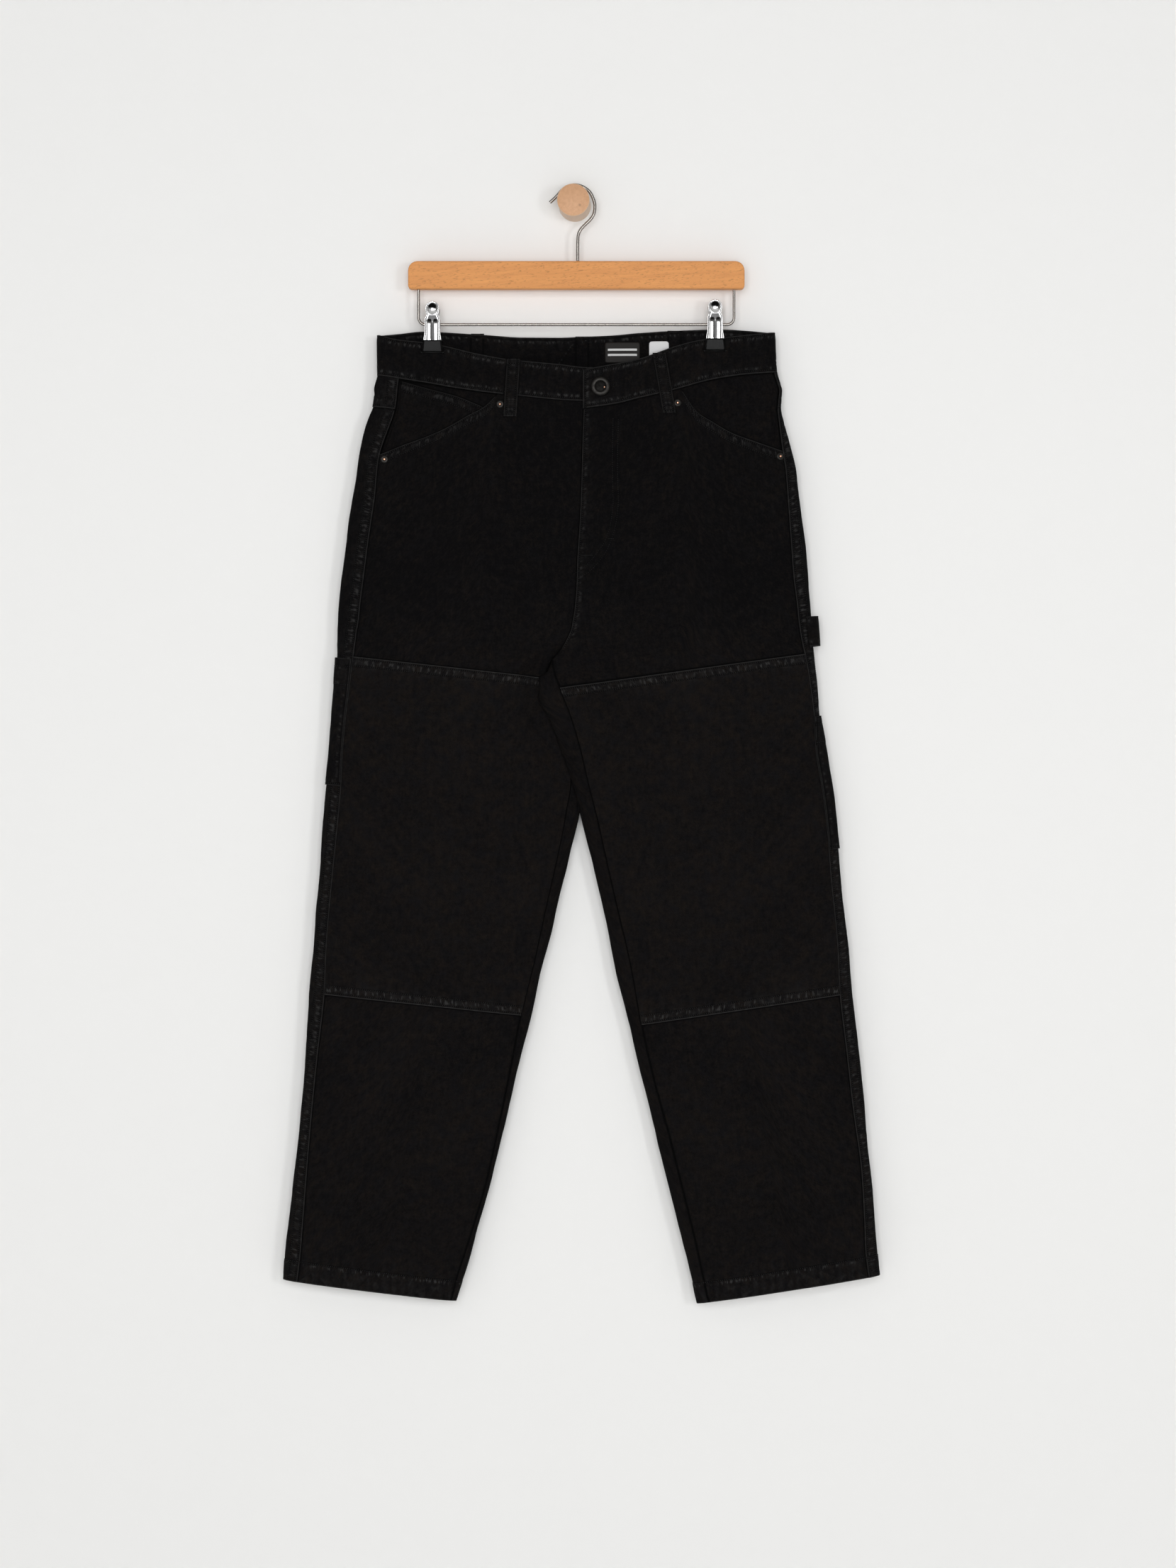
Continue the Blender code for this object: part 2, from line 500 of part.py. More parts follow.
def pocket_pieces(half, collection):
    """The facing that shows in the slanted pocket mouth, and the coin pocket on the right one."""
    band = BAND_LOW_RIGHT if half.name == "right" else BAND_LOW_LEFT
    mouth = POCKET_MOUTH[half.name]
    columns = range(POCKET_COLUMN + 2)
    facing = under_grid(half, columns, lambda x: edge_height(band, x),
                        lambda x: edge_height(mouth, x) - FACING_BELOW_MOUTH, 7)
    facing = inset(facing, 2 * SEAM_INSET)
    deep = CLOTH / 2 + 2 * GAP
    if half.name == "right":
        coin_columns = range(2, POCKET_COLUMN + 1)
        coin = under_grid(half, coin_columns, lambda x: edge_height(COIN_POCKET_TOP, x),
                          lambda x: edge_height(mouth, x) - COIN_POCKET_BELOW_MOUTH, 5)
        wall("coin_pocket", coin, -deep, -deep - LAYER_CLOTH, "twill", collection)
        deep += LAYER_CLOTH + 2 * GAP
    wall(f"pocket_facing_{half.name}", facing, -deep, -deep - LAYER_CLOTH, "twill", collection)


def between_heights(half, top, bottom, columns, rows):
    """Points and normals of the back's grid between two heights at its outer fold."""
    normals = outward(half.back)
    heights = np.array([row.z_out for row in half.rows])
    places = np.interp(-np.linspace(top, bottom, rows), -heights, np.arange(len(heights)))
    low = np.floor(places).astype(int)
    share = (places - low)[:, None, None]
    high = np.minimum(low + 1, len(heights) - 1)
    points = half.back[low, :columns] * (1 - share) + half.back[high, :columns] * share
    turned = normals[low, :columns] * (1 - share) + normals[high, :columns] * share
    return points, turned / np.linalg.norm(turned, axis=2, keepdims=True)


def tool_pocket(half, collection):
    """The long pocket sewn over the back's side, from the outseam round the outer fold."""
    top, bottom = TOOL_POCKET[half.name]
    points, normals = between_heights(half, top, bottom, TOOL_POCKET_COLUMN, 7)
    grid = inset(points[:, 1:], GAP)
    under = CLOTH / 2 + FELL_EXTRA + GAP
    outside = np.full(grid.shape[:2], under + LAYER_CLOTH)
    outside[0] += HEM_EXTRA
    outside[1] += HEM_EXTRA * 0.5
    wall(f"tool_pocket_{half.name}", grid, outside, under, "twill", collection, normals[:, 1:])


def hammer_loop(half, collection):
    """A strap from the outseam round the outer fold, standing away from the leg there."""
    top, bottom = HAMMER_LOOP
    points, normals = between_heights(half, top, bottom, TOOL_POCKET_COLUMN, 3)
    grid, normals = points[:, 1:], normals[:, 1:]
    lift = HAMMER_LOOP_OUT * np.sin(np.linspace(0.0, math.pi, grid.shape[1]))
    grid = grid + normals * lift[None, :, None]
    under = CLOTH / 2 + FELL_EXTRA + GAP
    wall("hammer_loop", grid, under + HAMMER_LOOP_CLOTH, under, "twill", collection)


def waistband(collection):
    """One strip from the lapped end at the fly round the left side, the back and the right side, and on
    under the lapped end."""
    front_left = np.array((8.6, 20.0, 33.0, 48.0, 66.0, 82.0, 95.0, 110.0, 124.0, 135.0, 149.0, 162.0, 174.0,
                           186.0, 198.0, 206.0, 211.0, 213.4))
    back = np.array((214.3, 213.4, 211.0, 206.0, 192.0, 174.0, 162.0, 149.0, 135.0, 118.0, 100.0, 78.0, 55.0,
                     30.0, 7.6, -20.0, -48.0, -75.0, -100.0, -122.0, -138.0, -151.0, -164.0, -178.0, -192.0,
                     -202.0, -206.5, -208.4))
    front_right = np.array((-209.3, -208.4, -206.5, -202.0, -190.0, -178.0, -164.0, -151.0, -138.0, -124.0, -108.0,
                            -90.0, -72.0, -50.0, -28.0, -6.0, 14.0, 30.0, UNDERLAP_END))
    stretches = (
        (front_left, -1, BAND_TOP_LEFT, BAND_LOW_LEFT, flap_offset(front_left)),
        (back, 1, BAND_TOP_BACK, BAND_LOW_BACK, 0.0),
        (front_right, -1, BAND_TOP_RIGHT, BAND_LOW_RIGHT, 0.0),
    )
    columns = []
    for x, side, top, low, extra in stretches:
        y = MIDDLE_Y + side * (band_offset(x, side) + extra)
        high, deep = edge_height(top, x), edge_height(low, x)
        columns.append(np.array([np.stack([x, y, high + (deep - high) * share], axis=1) for share in (0, 0.5, 1)]))
    grid = inset(np.concatenate(columns, axis=1))
    wall("waistband", grid, BAND_CLOTH / 2, -BAND_CLOTH / 2, "twill", collection)


def belt_loop(name, x_top, x_low, z_top, z_low, side, halves, collection):
    """A strip over the waistband that stands off it a little between its two ends."""
    rows = []
    for share in np.linspace(0.0, 1.0, LOOP_ROWS):
        middle = x_top + (x_low - x_top) * share
        x = middle + LOOP_WIDTH * np.array((-0.5, 0.0, 0.5))
        off = BAND_CLOTH / 2 + GAP + 0.1 + LOOP_STANDS_OFF * math.sin(math.pi * share) ** 0.5
        z = z_top + (z_low - z_top) * share
        extra = flap_offset(x) if side < 0 and middle > 0 else 0.0
        y = MIDDLE_Y + side * (band_offset(x, side) + extra + off)
        if side < 0:
            half = halves["left" if middle > 0 else "right"]
            y = np.minimum(y, [half.at(place_x, z) - CLOTH / 2 - GAP for place_x in x])
        rows.append(np.stack([x, y, np.full(3, z)], axis=1))
    normals = np.zeros((LOOP_ROWS, 3, 3))
    normals[:, :, 1] = side
    wall(name, np.array(rows), LOOP_CLOTH, 0.0, "twill", collection, normals)


def label(name, x_from, x_to, z_top, z_low, finish, collection):
    """A plain label on the inside of the back waistband."""
    x = np.linspace(x_from, x_to, 6)
    y = MIDDLE_Y + band_offset(x, 1) - BAND_CLOTH / 2 - GAP
    grid = np.array([np.stack([x, y, np.full(6, z)], axis=1) for z in (z_top, z_low)])
    normals = np.zeros((2, 6, 3))
    normals[:, :, 1] = -1.0
    wall(name, grid, LAYER_CLOTH, 0.0, finish, collection, normals)


def turned(name, profile, centre, direction, finish, collection, steps=32):
    """A turned piece: profile (radius, height) from its top down, height along the direction."""
    mesh = bpy.data.meshes.new(name)
    points = [(radius * MM, 0.0, height * MM) for radius, height in profile]
    mesh.from_pydata(points, [(i, i + 1) for i in range(len(points) - 1)], [])
    piece = place(name, mesh, finish, collection)
    piece.location = Vector(centre) * MM
    piece.rotation_euler = Vector((0.0, 0.0, 1.0)).rotation_difference(Vector(direction)).to_euler()
    screw = piece.modifiers.new("turn", "SCREW")
    screw.steps = steps
    screw.render_steps = steps
    screw.use_merge_vertices = True
    screw.merge_threshold = 0.00001
    screw.use_smooth_shade = True
    return piece


def tube(name, route, radius, finish, collection, resolution=2):
    """A wire along a route of (x, y, z) points."""
    curve = bpy.data.curves.new(name, "CURVE")
    curve.dimensions = "3D"
    curve.bevel_depth = radius * MM
    curve.bevel_resolution = resolution
    curve.use_fill_caps = True
    spline = curve.splines.new("POLY")
    spline.points.add(len(route) - 1)
    for point, (x, y, z) in zip(spline.points, route):
        point.co = (x * MM, y * MM, z * MM, 1.0)
    return place(name, curve, finish, collection)


def rounded_block(name, low, high, finish, collection, width=0.6):
    """A box between two corners with its edges bevelled."""
    mesh = bpy.data.meshes.new(name)
    form = bmesh.new()
    bmesh.ops.create_cube(form, size=1.0)
    low, high = Vector(low) * MM, Vector(high) * MM
    for vertex in form.verts:
        vertex.co = Vector([(low[i] + high[i]) / 2 + vertex.co[i] * (high[i] - low[i]) for i in range(3)])
    form.to_mesh(mesh)
    form.free()
    piece = place(name, mesh, finish, collection)
    bevel = piece.modifiers.new("edges", "BEVEL")
    bevel.width = width * MM
    bevel.segments = 1
    return piece


def hanger_bar(collection):
    """The wooden bar: a box whose four ends are rounded over in the front view, then its edges eased."""
    mesh = bpy.data.meshes.new("hanger_bar")
    form = bmesh.new()
    bmesh.ops.create_cube(form, size=1.0)
    (x_low, x_high), (z_low, z_high) = BAR["x"], BAR["z"]
    for vertex in form.verts:
        x = (x_low + x_high) / 2 + vertex.co.x * (x_high - x_low)
        z = (z_low + z_high) / 2 + vertex.co.z * (z_high - z_low)
        vertex.co = Vector((x, MIDDLE_Y + vertex.co.y * BAR["thick"], z)) * MM
    middle = (z_low + z_high) / 2 * MM
    for radius, wanted in ((BAR["top_round"], True), (BAR["low_round"], False)):
        ends = [edge for edge in form.edges
                if abs(edge.verts[0].co.x - edge.verts[1].co.x) < MM
                and abs(edge.verts[0].co.z - edge.verts[1].co.z) < MM
                and (edge.verts[0].co.z > middle) == wanted]
        bmesh.ops.bevel(form, geom=ends, offset=radius * MM, segments=5, profile=0.5, affect="EDGES")
    form.to_mesh(mesh)
    form.free()
    piece = place("hanger_bar", mesh, "beech", collection)
    bevel = piece.modifiers.new("edges", "BEVEL")
    bevel.width = 1.5 * MM
    bevel.segments = 2
    bevel.limit_method = "ANGLE"
    bevel.angle_limit = math.radians(50.0)


def hook(collection):
    """The hook's wire: over the peg, round its right side and by an S bend down into the bar's middle."""
    centre_x, centre_z = HOOK_CENTRE
    route = [(-26.2, -0.4), (-24.4, 2.6), (-22.0, 5.6)]
    for degrees in range(145, -61, -12):
        angle = math.radians(degrees)
        route.append((centre_x + HOOK_BEND * math.cos(angle), centre_z + HOOK_BEND * math.sin(angle)))
    route += [(7.8, -26.6), (5.0, -30.2), (3.4, -34.2), (HOOK_STEM_X, -38.5), (HOOK_STEM_X, -50.0)]
    route.append((HOOK_STEM_X, BAR["z"][1] + GAP))
    tube("hook", [(x, MIDDLE_Y, z) for x, z in route], HOOK_RADIUS, "chrome", collection)


def trouser_wire(collection):
    """The U of wire under the bar, on which the clips slide."""
    top = BAR["z"][0] - GAP
    left, right = WIRE_X
    route = [(left, top), (left, WIRE_Z + WIRE_BEND)]
    for centre, start in ((left + WIRE_BEND, 180), (right - WIRE_BEND, 270)):
        for step in range(1, 6):
            angle = math.radians(start + 18 * step)
            route.append((centre + WIRE_BEND * math.cos(angle), WIRE_Z + WIRE_BEND + WIRE_BEND * math.sin(angle)))
    route += [(right, top)]
    tube("trouser_wire", [(x, MIDDLE_Y, z) for x, z in route], WIRE_RADIUS, "chrome", collection)


def jaw(name, x, z_top, z_low, side, collection):
    """One jaw: a round head, then a plate that widens to its tip."""
    y_near = BAND_CLOTH / 2 + PINCHED + GAP + PAD_THICK + GAP
    head = CLIP_HEAD / 2
    outline = [(head * math.cos(math.radians(a)), z_top - head + head * math.sin(math.radians(a)))
               for a in range(0, 181, 20)]
    outline = [(CLIP_WIDTH / 2, z_low + CLIP_TIP)] + outline + [(-CLIP_WIDTH / 2, z_low + CLIP_TIP)]
    outline += [(-CLIP_WIDTH / 2 + CLIP_TIP, z_low), (CLIP_WIDTH / 2 - CLIP_TIP, z_low)]
    mesh = bpy.data.meshes.new(name)
    form = bmesh.new()
    corners = [form.verts.new((Vector((x + px, MIDDLE_Y + side * y_near, pz))) * MM) for px, pz in outline]
    face = form.faces.new(corners)
    moved = bmesh.ops.extrude_face_region(form, geom=[face])["geom"]
    for vertex in [item for item in moved if isinstance(item, bmesh.types.BMVert)]:
        vertex.co.y += side * JAW_THICK * MM
    bmesh.ops.recalc_face_normals(form, faces=form.faces)
    form.to_mesh(mesh)
    form.free()
    place(name, mesh, "chrome", collection)


def clip(side_name, collection):
    """A clip on the trouser wire: two jaws, their rubber pads and the spring between them."""
    x, z_top, z_low = CLIPS[side_name]
    for face_name, side in (("front", -1), ("back", 1)):
        jaw(f"clip_{side_name}_jaw_{face_name}", x, z_top, z_low + JAW_ABOVE_PAD, side, collection)
        near = MIDDLE_Y + side * (BAND_CLOTH / 2 + PINCHED + GAP)
        far = near + side * PAD_THICK
        rounded_block(f"clip_{side_name}_pad_{face_name}", (x - PAD_WIDTH / 2, min(near, far), z_low),
                      (x + PAD_WIDTH / 2, max(near, far), z_low + PAD_HEIGHT), "rubber", collection)
    radius = BAND_CLOTH / 2 + PINCHED + GAP + PAD_THICK
    half = SPRING_LENGTH / 2
    turned(f"clip_{side_name}_spring", [(SPRING_BORE, half), (radius, half), (radius, -half), (SPRING_BORE, -half),
                                        (SPRING_BORE, half)],
           (x, MIDDLE_Y, WIRE_Z), (1.0, 0.0, 0.0), "chrome", collection, 20)


def surface_point(half, x, z):
    """A point of the front's outer face and its outward normal, from the points under a rivet's rim."""
    point = Vector((x, half.at(x, z), z))
    across = Vector((2 * RIVET_RIM, half.at(x + RIVET_RIM, z) - half.at(x - RIVET_RIM, z), 0.0))
    down = Vector((0.0, half.at(x, z - RIVET_RIM) - half.at(x, z + RIVET_RIM), -2 * RIVET_RIM))
    normal = across.cross(down).normalized()
    normal = normal if normal.y < 0 else -normal
    return point + normal * (CLOTH / 2), normal


def fastenings(halves, collection):
    """The shank button on the waistband's lapped end and the four pocket rivets."""
    x, z = BUTTON
    y = MIDDLE_Y - band_offset(x, -1) - flap_offset(x) - BAND_CLOTH / 2 - GAP
    profile = [(0.0, 2.4), (5.2, 2.4), (5.9, 3.4), (9.2, 3.4), (10.25, 2.4), (10.25, 1.4), (9.4, 0.7), (4.0, 0.7),
               (4.0, 0.0), (0.0, 0.0)]
    turned("button", profile, (x, y, z), (0.0, -1.0, 0.0), "gunmetal", collection, 28)
    rivet = [(0.0, 1.5), (1.6, 1.4), (2.1, 0.9), (2.9, 0.9), (RIVET_RIM, 0.5), (RIVET_RIM, 0.0), (0.0, 0.0)]
    for name, (side, rivet_x, rivet_z) in RIVETS.items():
        point, normal = surface_point(halves[side], rivet_x, rivet_z)
        turned(name, rivet, point + normal * GAP, normal, "copper", collection, 16)


def main():
    clear_scene()
    collection = bpy.data.collections.new("carpenter_pants")
    bpy.context.scene.collection.children.link(collection)
    halves = {"right": Half("right", RIGHT_LEG), "left": Half("left", LEFT_LEG)}
    for half in halves.values():
        front_panel(half, collection)
        back_pieces(half, collection)
        knee_patch(half, collection)
        pocket_pieces(half, collection)
        tool_pocket(half, collection)
    hammer_loop(halves["left"], collection)
    waistband(collection)
    for loop in LOOPS:
        belt_loop(*loop, halves, collection)
    for name, (x_from, x_to, z_top, z_low) in LABELS.items():
        finish = "label" if name == "label_main" else "size_label"
        label(name, x_from, x_to, z_top, z_low, finish, collection)
    fastenings(halves, collection)
    peg = [(0.0, PEG_LENGTH), (PEG_RADIUS - 2.5, PEG_LENGTH), (PEG_RADIUS - 0.8, PEG_LENGTH - 0.8),
           (PEG_RADIUS, PEG_LENGTH - 2.5), (PEG_RADIUS, 0.0), (0.0, 0.0)]
    turned("wall_peg", peg, (0.0, 0.0, 0.0), (0.0, -1.0, 0.0), "pale_beech", collection)
    hanger_bar(collection)
    hook(collection)
    trouser_wire(collection)
    for side_name in CLIPS:
        clip(side_name, collection)


main()
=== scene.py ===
# %% [markdown]
# # Carpenter pants on a clip hanger
# The solids of these pants already stand in the file, plain and at their real size. This lesson dresses
# them: every cloth piece is laid again as a thin shell with folds, raised seams and real stitches, and the
# wood and metal pieces get finishes. The frame is the solids' own: the wall is the plane Y = 0, the viewer
# stands at -Y, and the origin is the middle of the wall peg's back. "Right" and "left" are the wearer's.

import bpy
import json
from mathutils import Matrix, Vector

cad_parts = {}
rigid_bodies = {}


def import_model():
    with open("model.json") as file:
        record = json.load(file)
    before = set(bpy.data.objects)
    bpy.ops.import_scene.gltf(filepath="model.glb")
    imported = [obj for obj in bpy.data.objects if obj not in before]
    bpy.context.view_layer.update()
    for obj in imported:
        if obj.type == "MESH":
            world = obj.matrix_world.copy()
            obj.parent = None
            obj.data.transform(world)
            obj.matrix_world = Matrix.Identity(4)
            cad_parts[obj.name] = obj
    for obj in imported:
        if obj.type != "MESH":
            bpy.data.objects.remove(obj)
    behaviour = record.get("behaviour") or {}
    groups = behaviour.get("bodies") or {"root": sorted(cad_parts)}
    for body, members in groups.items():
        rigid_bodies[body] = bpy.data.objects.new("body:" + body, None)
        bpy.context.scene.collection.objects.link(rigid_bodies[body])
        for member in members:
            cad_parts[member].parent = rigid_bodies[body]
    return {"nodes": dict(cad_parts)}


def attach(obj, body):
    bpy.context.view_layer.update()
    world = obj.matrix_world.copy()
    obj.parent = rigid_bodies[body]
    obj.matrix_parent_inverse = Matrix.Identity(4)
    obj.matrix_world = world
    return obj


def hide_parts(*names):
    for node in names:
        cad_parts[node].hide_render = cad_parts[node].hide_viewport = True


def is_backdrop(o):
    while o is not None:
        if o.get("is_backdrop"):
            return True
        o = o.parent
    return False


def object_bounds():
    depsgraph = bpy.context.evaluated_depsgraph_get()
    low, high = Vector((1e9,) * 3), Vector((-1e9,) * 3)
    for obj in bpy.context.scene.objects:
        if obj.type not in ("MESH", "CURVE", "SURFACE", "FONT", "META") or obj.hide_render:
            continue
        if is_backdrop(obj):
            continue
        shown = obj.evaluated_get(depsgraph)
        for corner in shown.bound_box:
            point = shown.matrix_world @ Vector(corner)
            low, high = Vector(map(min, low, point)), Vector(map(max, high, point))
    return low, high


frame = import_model()
cad_box = [list(corner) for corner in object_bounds()]
print("solids", len(frame["nodes"]), "box", [[round(value, 4) for value in corner] for corner in cad_box])

# %% [markdown]
# The camera stands straight before the garment, as the picture was taken. Its lens could be guessed by eye,
# but it is worked out here: one pixel covers 0.755 mm of cloth, so the frame's height and the camera's
# distance give the lens. All sizes in this lesson are millimetres, and MM turns them into Blender's metres.

# %% Camera
import json
import math
from collections import namedtuple

import bmesh
import bpy
import numpy as np
from mathutils import Vector
from mathutils.bvhtree import BVHTree

MM = 0.001
PIXEL = 0.755
FRAME_PIXELS = (1659, 2212)
MIDDLE_Y = -21.0
VIEW_CENTRE = (14.0, -619.7)
VIEW_DISTANCE = 3200.0
SENSOR = 36.0

camera = bpy.data.objects.new("camera", bpy.data.cameras.new("camera"))
bpy.context.scene.collection.objects.link(camera)
camera.location = Vector((VIEW_CENTRE[0], MIDDLE_Y - VIEW_DISTANCE, VIEW_CENTRE[1])) * MM
camera.rotation_euler = (math.radians(90.0), 0.0, 0.0)
camera.data.sensor_width = SENSOR
camera.data.lens = SENSOR * VIEW_DISTANCE / (FRAME_PIXELS[1] * PIXEL)
bpy.context.scene.camera = camera
bpy.context.scene.view_settings.view_transform = "Standard"
print("lens", round(camera.data.lens, 1))

# %% [markdown]
# Materials are node trees, so small helpers save typing: one adds a node with its values and links, the
# others are its most used forms, and one opens a node group with named sockets. A group is the way to write
# an effect once, such as a weave or worn seams, and use it in many materials with other values.

# %% Helpers for shader nodes
def add(tree, kind, inputs=None, **settings):
    """Adds a node. An input is a number, a colour, or another node's output to link."""
    made = tree.nodes.new("ShaderNode" + kind)
    for name, value in settings.items():
        setattr(made, name, value)
    for name, value in (inputs or {}).items():
        if isinstance(value, bpy.types.NodeSocket):
            tree.links.new(value, made.inputs[name])
        else:
            made.inputs[name].default_value = value
    return made


def maths(tree, operation, first, second=0.0, third=0.0, clamp=False):
    """One step of arithmetic between sockets or numbers."""
    return add(tree, "Math", {0: first, 1: second, 2: third}, operation=operation, use_clamp=clamp).outputs[0]


def product(tree, first, second, clamp=False):
    return maths(tree, "MULTIPLY", first, second, clamp=clamp)


def line_of(tree, value, slope, level):
    """A straight line through a value, held between 0 and 1."""
    return maths(tree, "MULTIPLY_ADD", value, slope, level, clamp=True)


def noise(tree, place, scale, detail=2.0, **more):
    """A noise at a place, as one number."""
    inputs = {"Scale": scale, "Detail": detail, **more}
    if place is not None:
        inputs["Vector"] = place
    return add(tree, "TexNoise", inputs).outputs["Fac"]


def stretched(tree, place, scales):
    """A place whose axes are scaled, so that what is drawn on it comes out stretched."""
    return add(tree, "VectorMath", {0: place, 1: scales}, operation="MULTIPLY").outputs[0]


def parts_of(tree, vector):
    return add(tree, "SeparateXYZ", {0: vector}).outputs


def carried(tree, name, output="Fac"):
    """A number or vector that the mesh carries at its points."""
    return add(tree, "Attribute", attribute_name=name).outputs[output]


def mixed(tree, share, first, second):
    """A colour between two others."""
    made = add(tree, "Mix", {0: share}, data_type="RGBA")
    for socket, value in ((made.inputs[6], first), (made.inputs[7], second)):
        if isinstance(value, bpy.types.NodeSocket):
            tree.links.new(value, socket)
        else:
            socket.default_value = (*value, 1.0)
    return made.outputs[2]


def dimmed(colour, share):
    return tuple(value * share for value in colour)


EMPTY = {"Float": 0.0, "Vector": (0.0, 0.0, 0.0), "Color": (0.0, 0.0, 0.0, 1.0)}


def open_group(name, inputs, outputs):
    """A node group with its sockets, both given as {name: kind}."""
    group = bpy.data.node_groups.new(name, "ShaderNodeTree")
    for way, sockets in (("INPUT", inputs), ("OUTPUT", outputs)):
        for label, kind in sockets.items():
            socket = group.interface.new_socket(name=label, in_out=way, socket_type="NodeSocket" + kind)
            socket.default_value = EMPTY[kind]
    print("group", name)
    return group, group.nodes.new("NodeGroupInput").outputs, group.nodes.new("NodeGroupOutput").inputs


def use_group(tree, group, **inputs):
    """A node that places a group in a material."""
    return add(tree, "Group", inputs, node_tree=group).outputs


def finish(name, colour, roughness, metallic=0.0, **constants):
    """A material with its Principled shader: constants are set on the shader's own sockets."""
    material = bpy.data.materials.new(name)
    material.use_nodes = True
    shader = material.node_tree.nodes["Principled BSDF"]
    shader.inputs["Base Color"].default_value = (*colour, 1.0)
    shader.inputs["Roughness"].default_value = roughness
    shader.inputs["Metallic"].default_value = metallic
    for name_of_input, value in constants.items():
        shader.inputs[name_of_input.replace("_", " ")].default_value = value
    print("material", name)
    return material, material.node_tree, shader


def relief_into(tree, shader, height, strength, distance):
    """Feeds a height to the shader's normal."""
    bump = add(tree, "Bump", {"Height": height, "Strength": strength, "Distance": distance})
    tree.links.new(bump.outputs["Normal"], shader.inputs["Normal"])


def colour_into(tree, shader, colour):
    tree.links.new(colour, shader.inputs["Base Color"])


# %% [markdown]
# The stage is a plain white wall and a pale floor. The garment hangs only centimetres before the wall, so in
# a view from behind the wall would hide it. A plane can be clear from behind: the shader reads whether its
# back is seen. It is clear to shadow rays too, so that a lamp behind the wall can light the garment's back.

# %% Wall and floor
WALL_COLOUR = (0.90, 0.90, 0.895)
FLOOR_COLOUR = (0.84, 0.84, 0.83)
FLOOR_Z = -1560.0


def plain_sheet(name, centre, size, turned, material):
    """A big flat square of the stage."""
    mesh = bpy.data.meshes.new(name)
    form = bmesh.new()
    bmesh.ops.create_grid(form, x_segments=1, y_segments=1, size=size * MM / 2)
    form.to_mesh(mesh)
    form.free()
    square = bpy.data.objects.new(name, mesh)
    square.location = Vector(centre) * MM
    square.rotation_euler = (math.radians(turned), 0.0, 0.0)
    mesh.materials.append(material)
    bpy.context.scene.collection.objects.link(square)
    square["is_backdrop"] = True


wall_paint, tree, shader = finish("wall_paint", WALL_COLOUR, 0.9, Specular_IOR_Level=0.1)
relief_into(tree, shader, noise(tree, None, 220.0, 3.0), 0.15, 0.0004)
seen_through = maths(tree, "MAXIMUM", add(tree, "NewGeometry").outputs["Backfacing"],
                     add(tree, "LightPath").outputs["Is Shadow Ray"])
clear = add(tree, "BsdfTransparent")
either = add(tree, "MixShader", {0: seen_through, 1: shader.outputs[0], 2: clear.outputs[0]})
tree.links.new(either.outputs[0], tree.nodes["Material Output"].inputs["Surface"])
floor_paint = finish("floor_paint", FLOOR_COLOUR, 0.8, Specular_IOR_Level=0.2)[0]
plain_sheet("stage_wall", (0.0, 0.5, -600.0), 7000.0, 90.0, wall_paint)
plain_sheet("stage_floor", (0.0, -500.0, FLOOR_Z), 9000.0, 0.0, floor_paint)

# %% [markdown]
# The picture is lit mostly from straight ahead, so the wall is bright close up to the cloth. A small lamp to
# the right throws the narrow shadow to the left of everything, with an edge that can be seen. It could all
# be done with the world's light, but that comes from every side and makes a dark rim along the garment. A
# weak lamp behind the wall lights the back for the views from there. The lamps stay out of the camera's
# sight.

# %% Lamps
AIM = Vector((0.0, 0.0, -620.0))
ROOM_LIGHT = (1.0, 0.985, 0.95, 1.0)
ROOM_STRENGTH = 0.22


def lamp(name, place, size, power):
    """A square area lamp that points at the garment's middle."""
    light = bpy.data.lights.new(name, "AREA")
    light.size = size * MM
    light.energy = power
    made = bpy.data.objects.new(name, light)
    made.location = Vector(place) * MM
    made.rotation_euler = (AIM - Vector(place)).to_track_quat("-Z", "Y").to_euler()
    made.visible_camera = False
    bpy.context.scene.collection.objects.link(made)
    print(name, power, "W")
    return made


lamp("lamp_right", (1900.0, -3600.0, -450.0), 600.0, 20.0)
lamp("lamp_left", (-2300.0, -3000.0, 0.0), 2600.0, 8.0)
lamp("lamp_front", (-150.0, -5000.0, -300.0), 2600.0, 123.0)
lamp("lamp_behind", (700.0, 3200.0, -300.0), 2400.0, 10.0)
lamp_for_cloth = lamp("lamp_behind_cloth", (-900.0, 3200.0, 300.0), 1600.0, 90.0)
world = bpy.data.worlds.new("room")
bpy.context.scene.world = world
world.use_nodes = True
background = world.node_tree.nodes["Background"]
background.inputs["Color"].default_value = ROOM_LIGHT
background.inputs["Strength"].default_value = ROOM_STRENGTH

# %% [markdown]
# Heavy cotton twill shows as fine slanting ribs. They could be a picture, but a sine of the cloth's own
# coordinates is sharper at any distance. The group is given the cloth's place in metres and the ribs' pitch,
# and puts out a height for the relief and a shade for the colour.

# %% Node group: twill weave
twill_weave, given, put = open_group("twill_weave", {"place": "Vector", "pitch": "Float"},
                                     {"height": "Float", "shade": "Float"})
group = twill_weave
RIB_SLANT = 1.35
place = parts_of(group, given["place"])
slant = maths(group, "ADD", place["X"], product(group, place["Y"], RIB_SLANT))
rib = maths(group, "SINE", product(group, maths(group, "DIVIDE", slant, given["pitch"]), math.tau))
rough = product(group, maths(group, "SUBTRACT", noise(group, given["place"], 900.0), 0.5), 2.4)
height = maths(group, "ADD", product(group, rib, 0.5), rough)
group.links.new(height, put["height"])
group.links.new(maths(group, "MULTIPLY_ADD", height, 0.25, 0.5), put["shade"])

# %% [markdown]
# Black dye washes out unevenly: broad clouds, finger-sized mottles, short streaks along the warp where a
# yarn is thick, and small flecks. One noise could do it all badly, so the group adds four of different
# sizes. A fifth turns the washed black from brownish to bluish, and wash says how far a whole piece has
# faded.

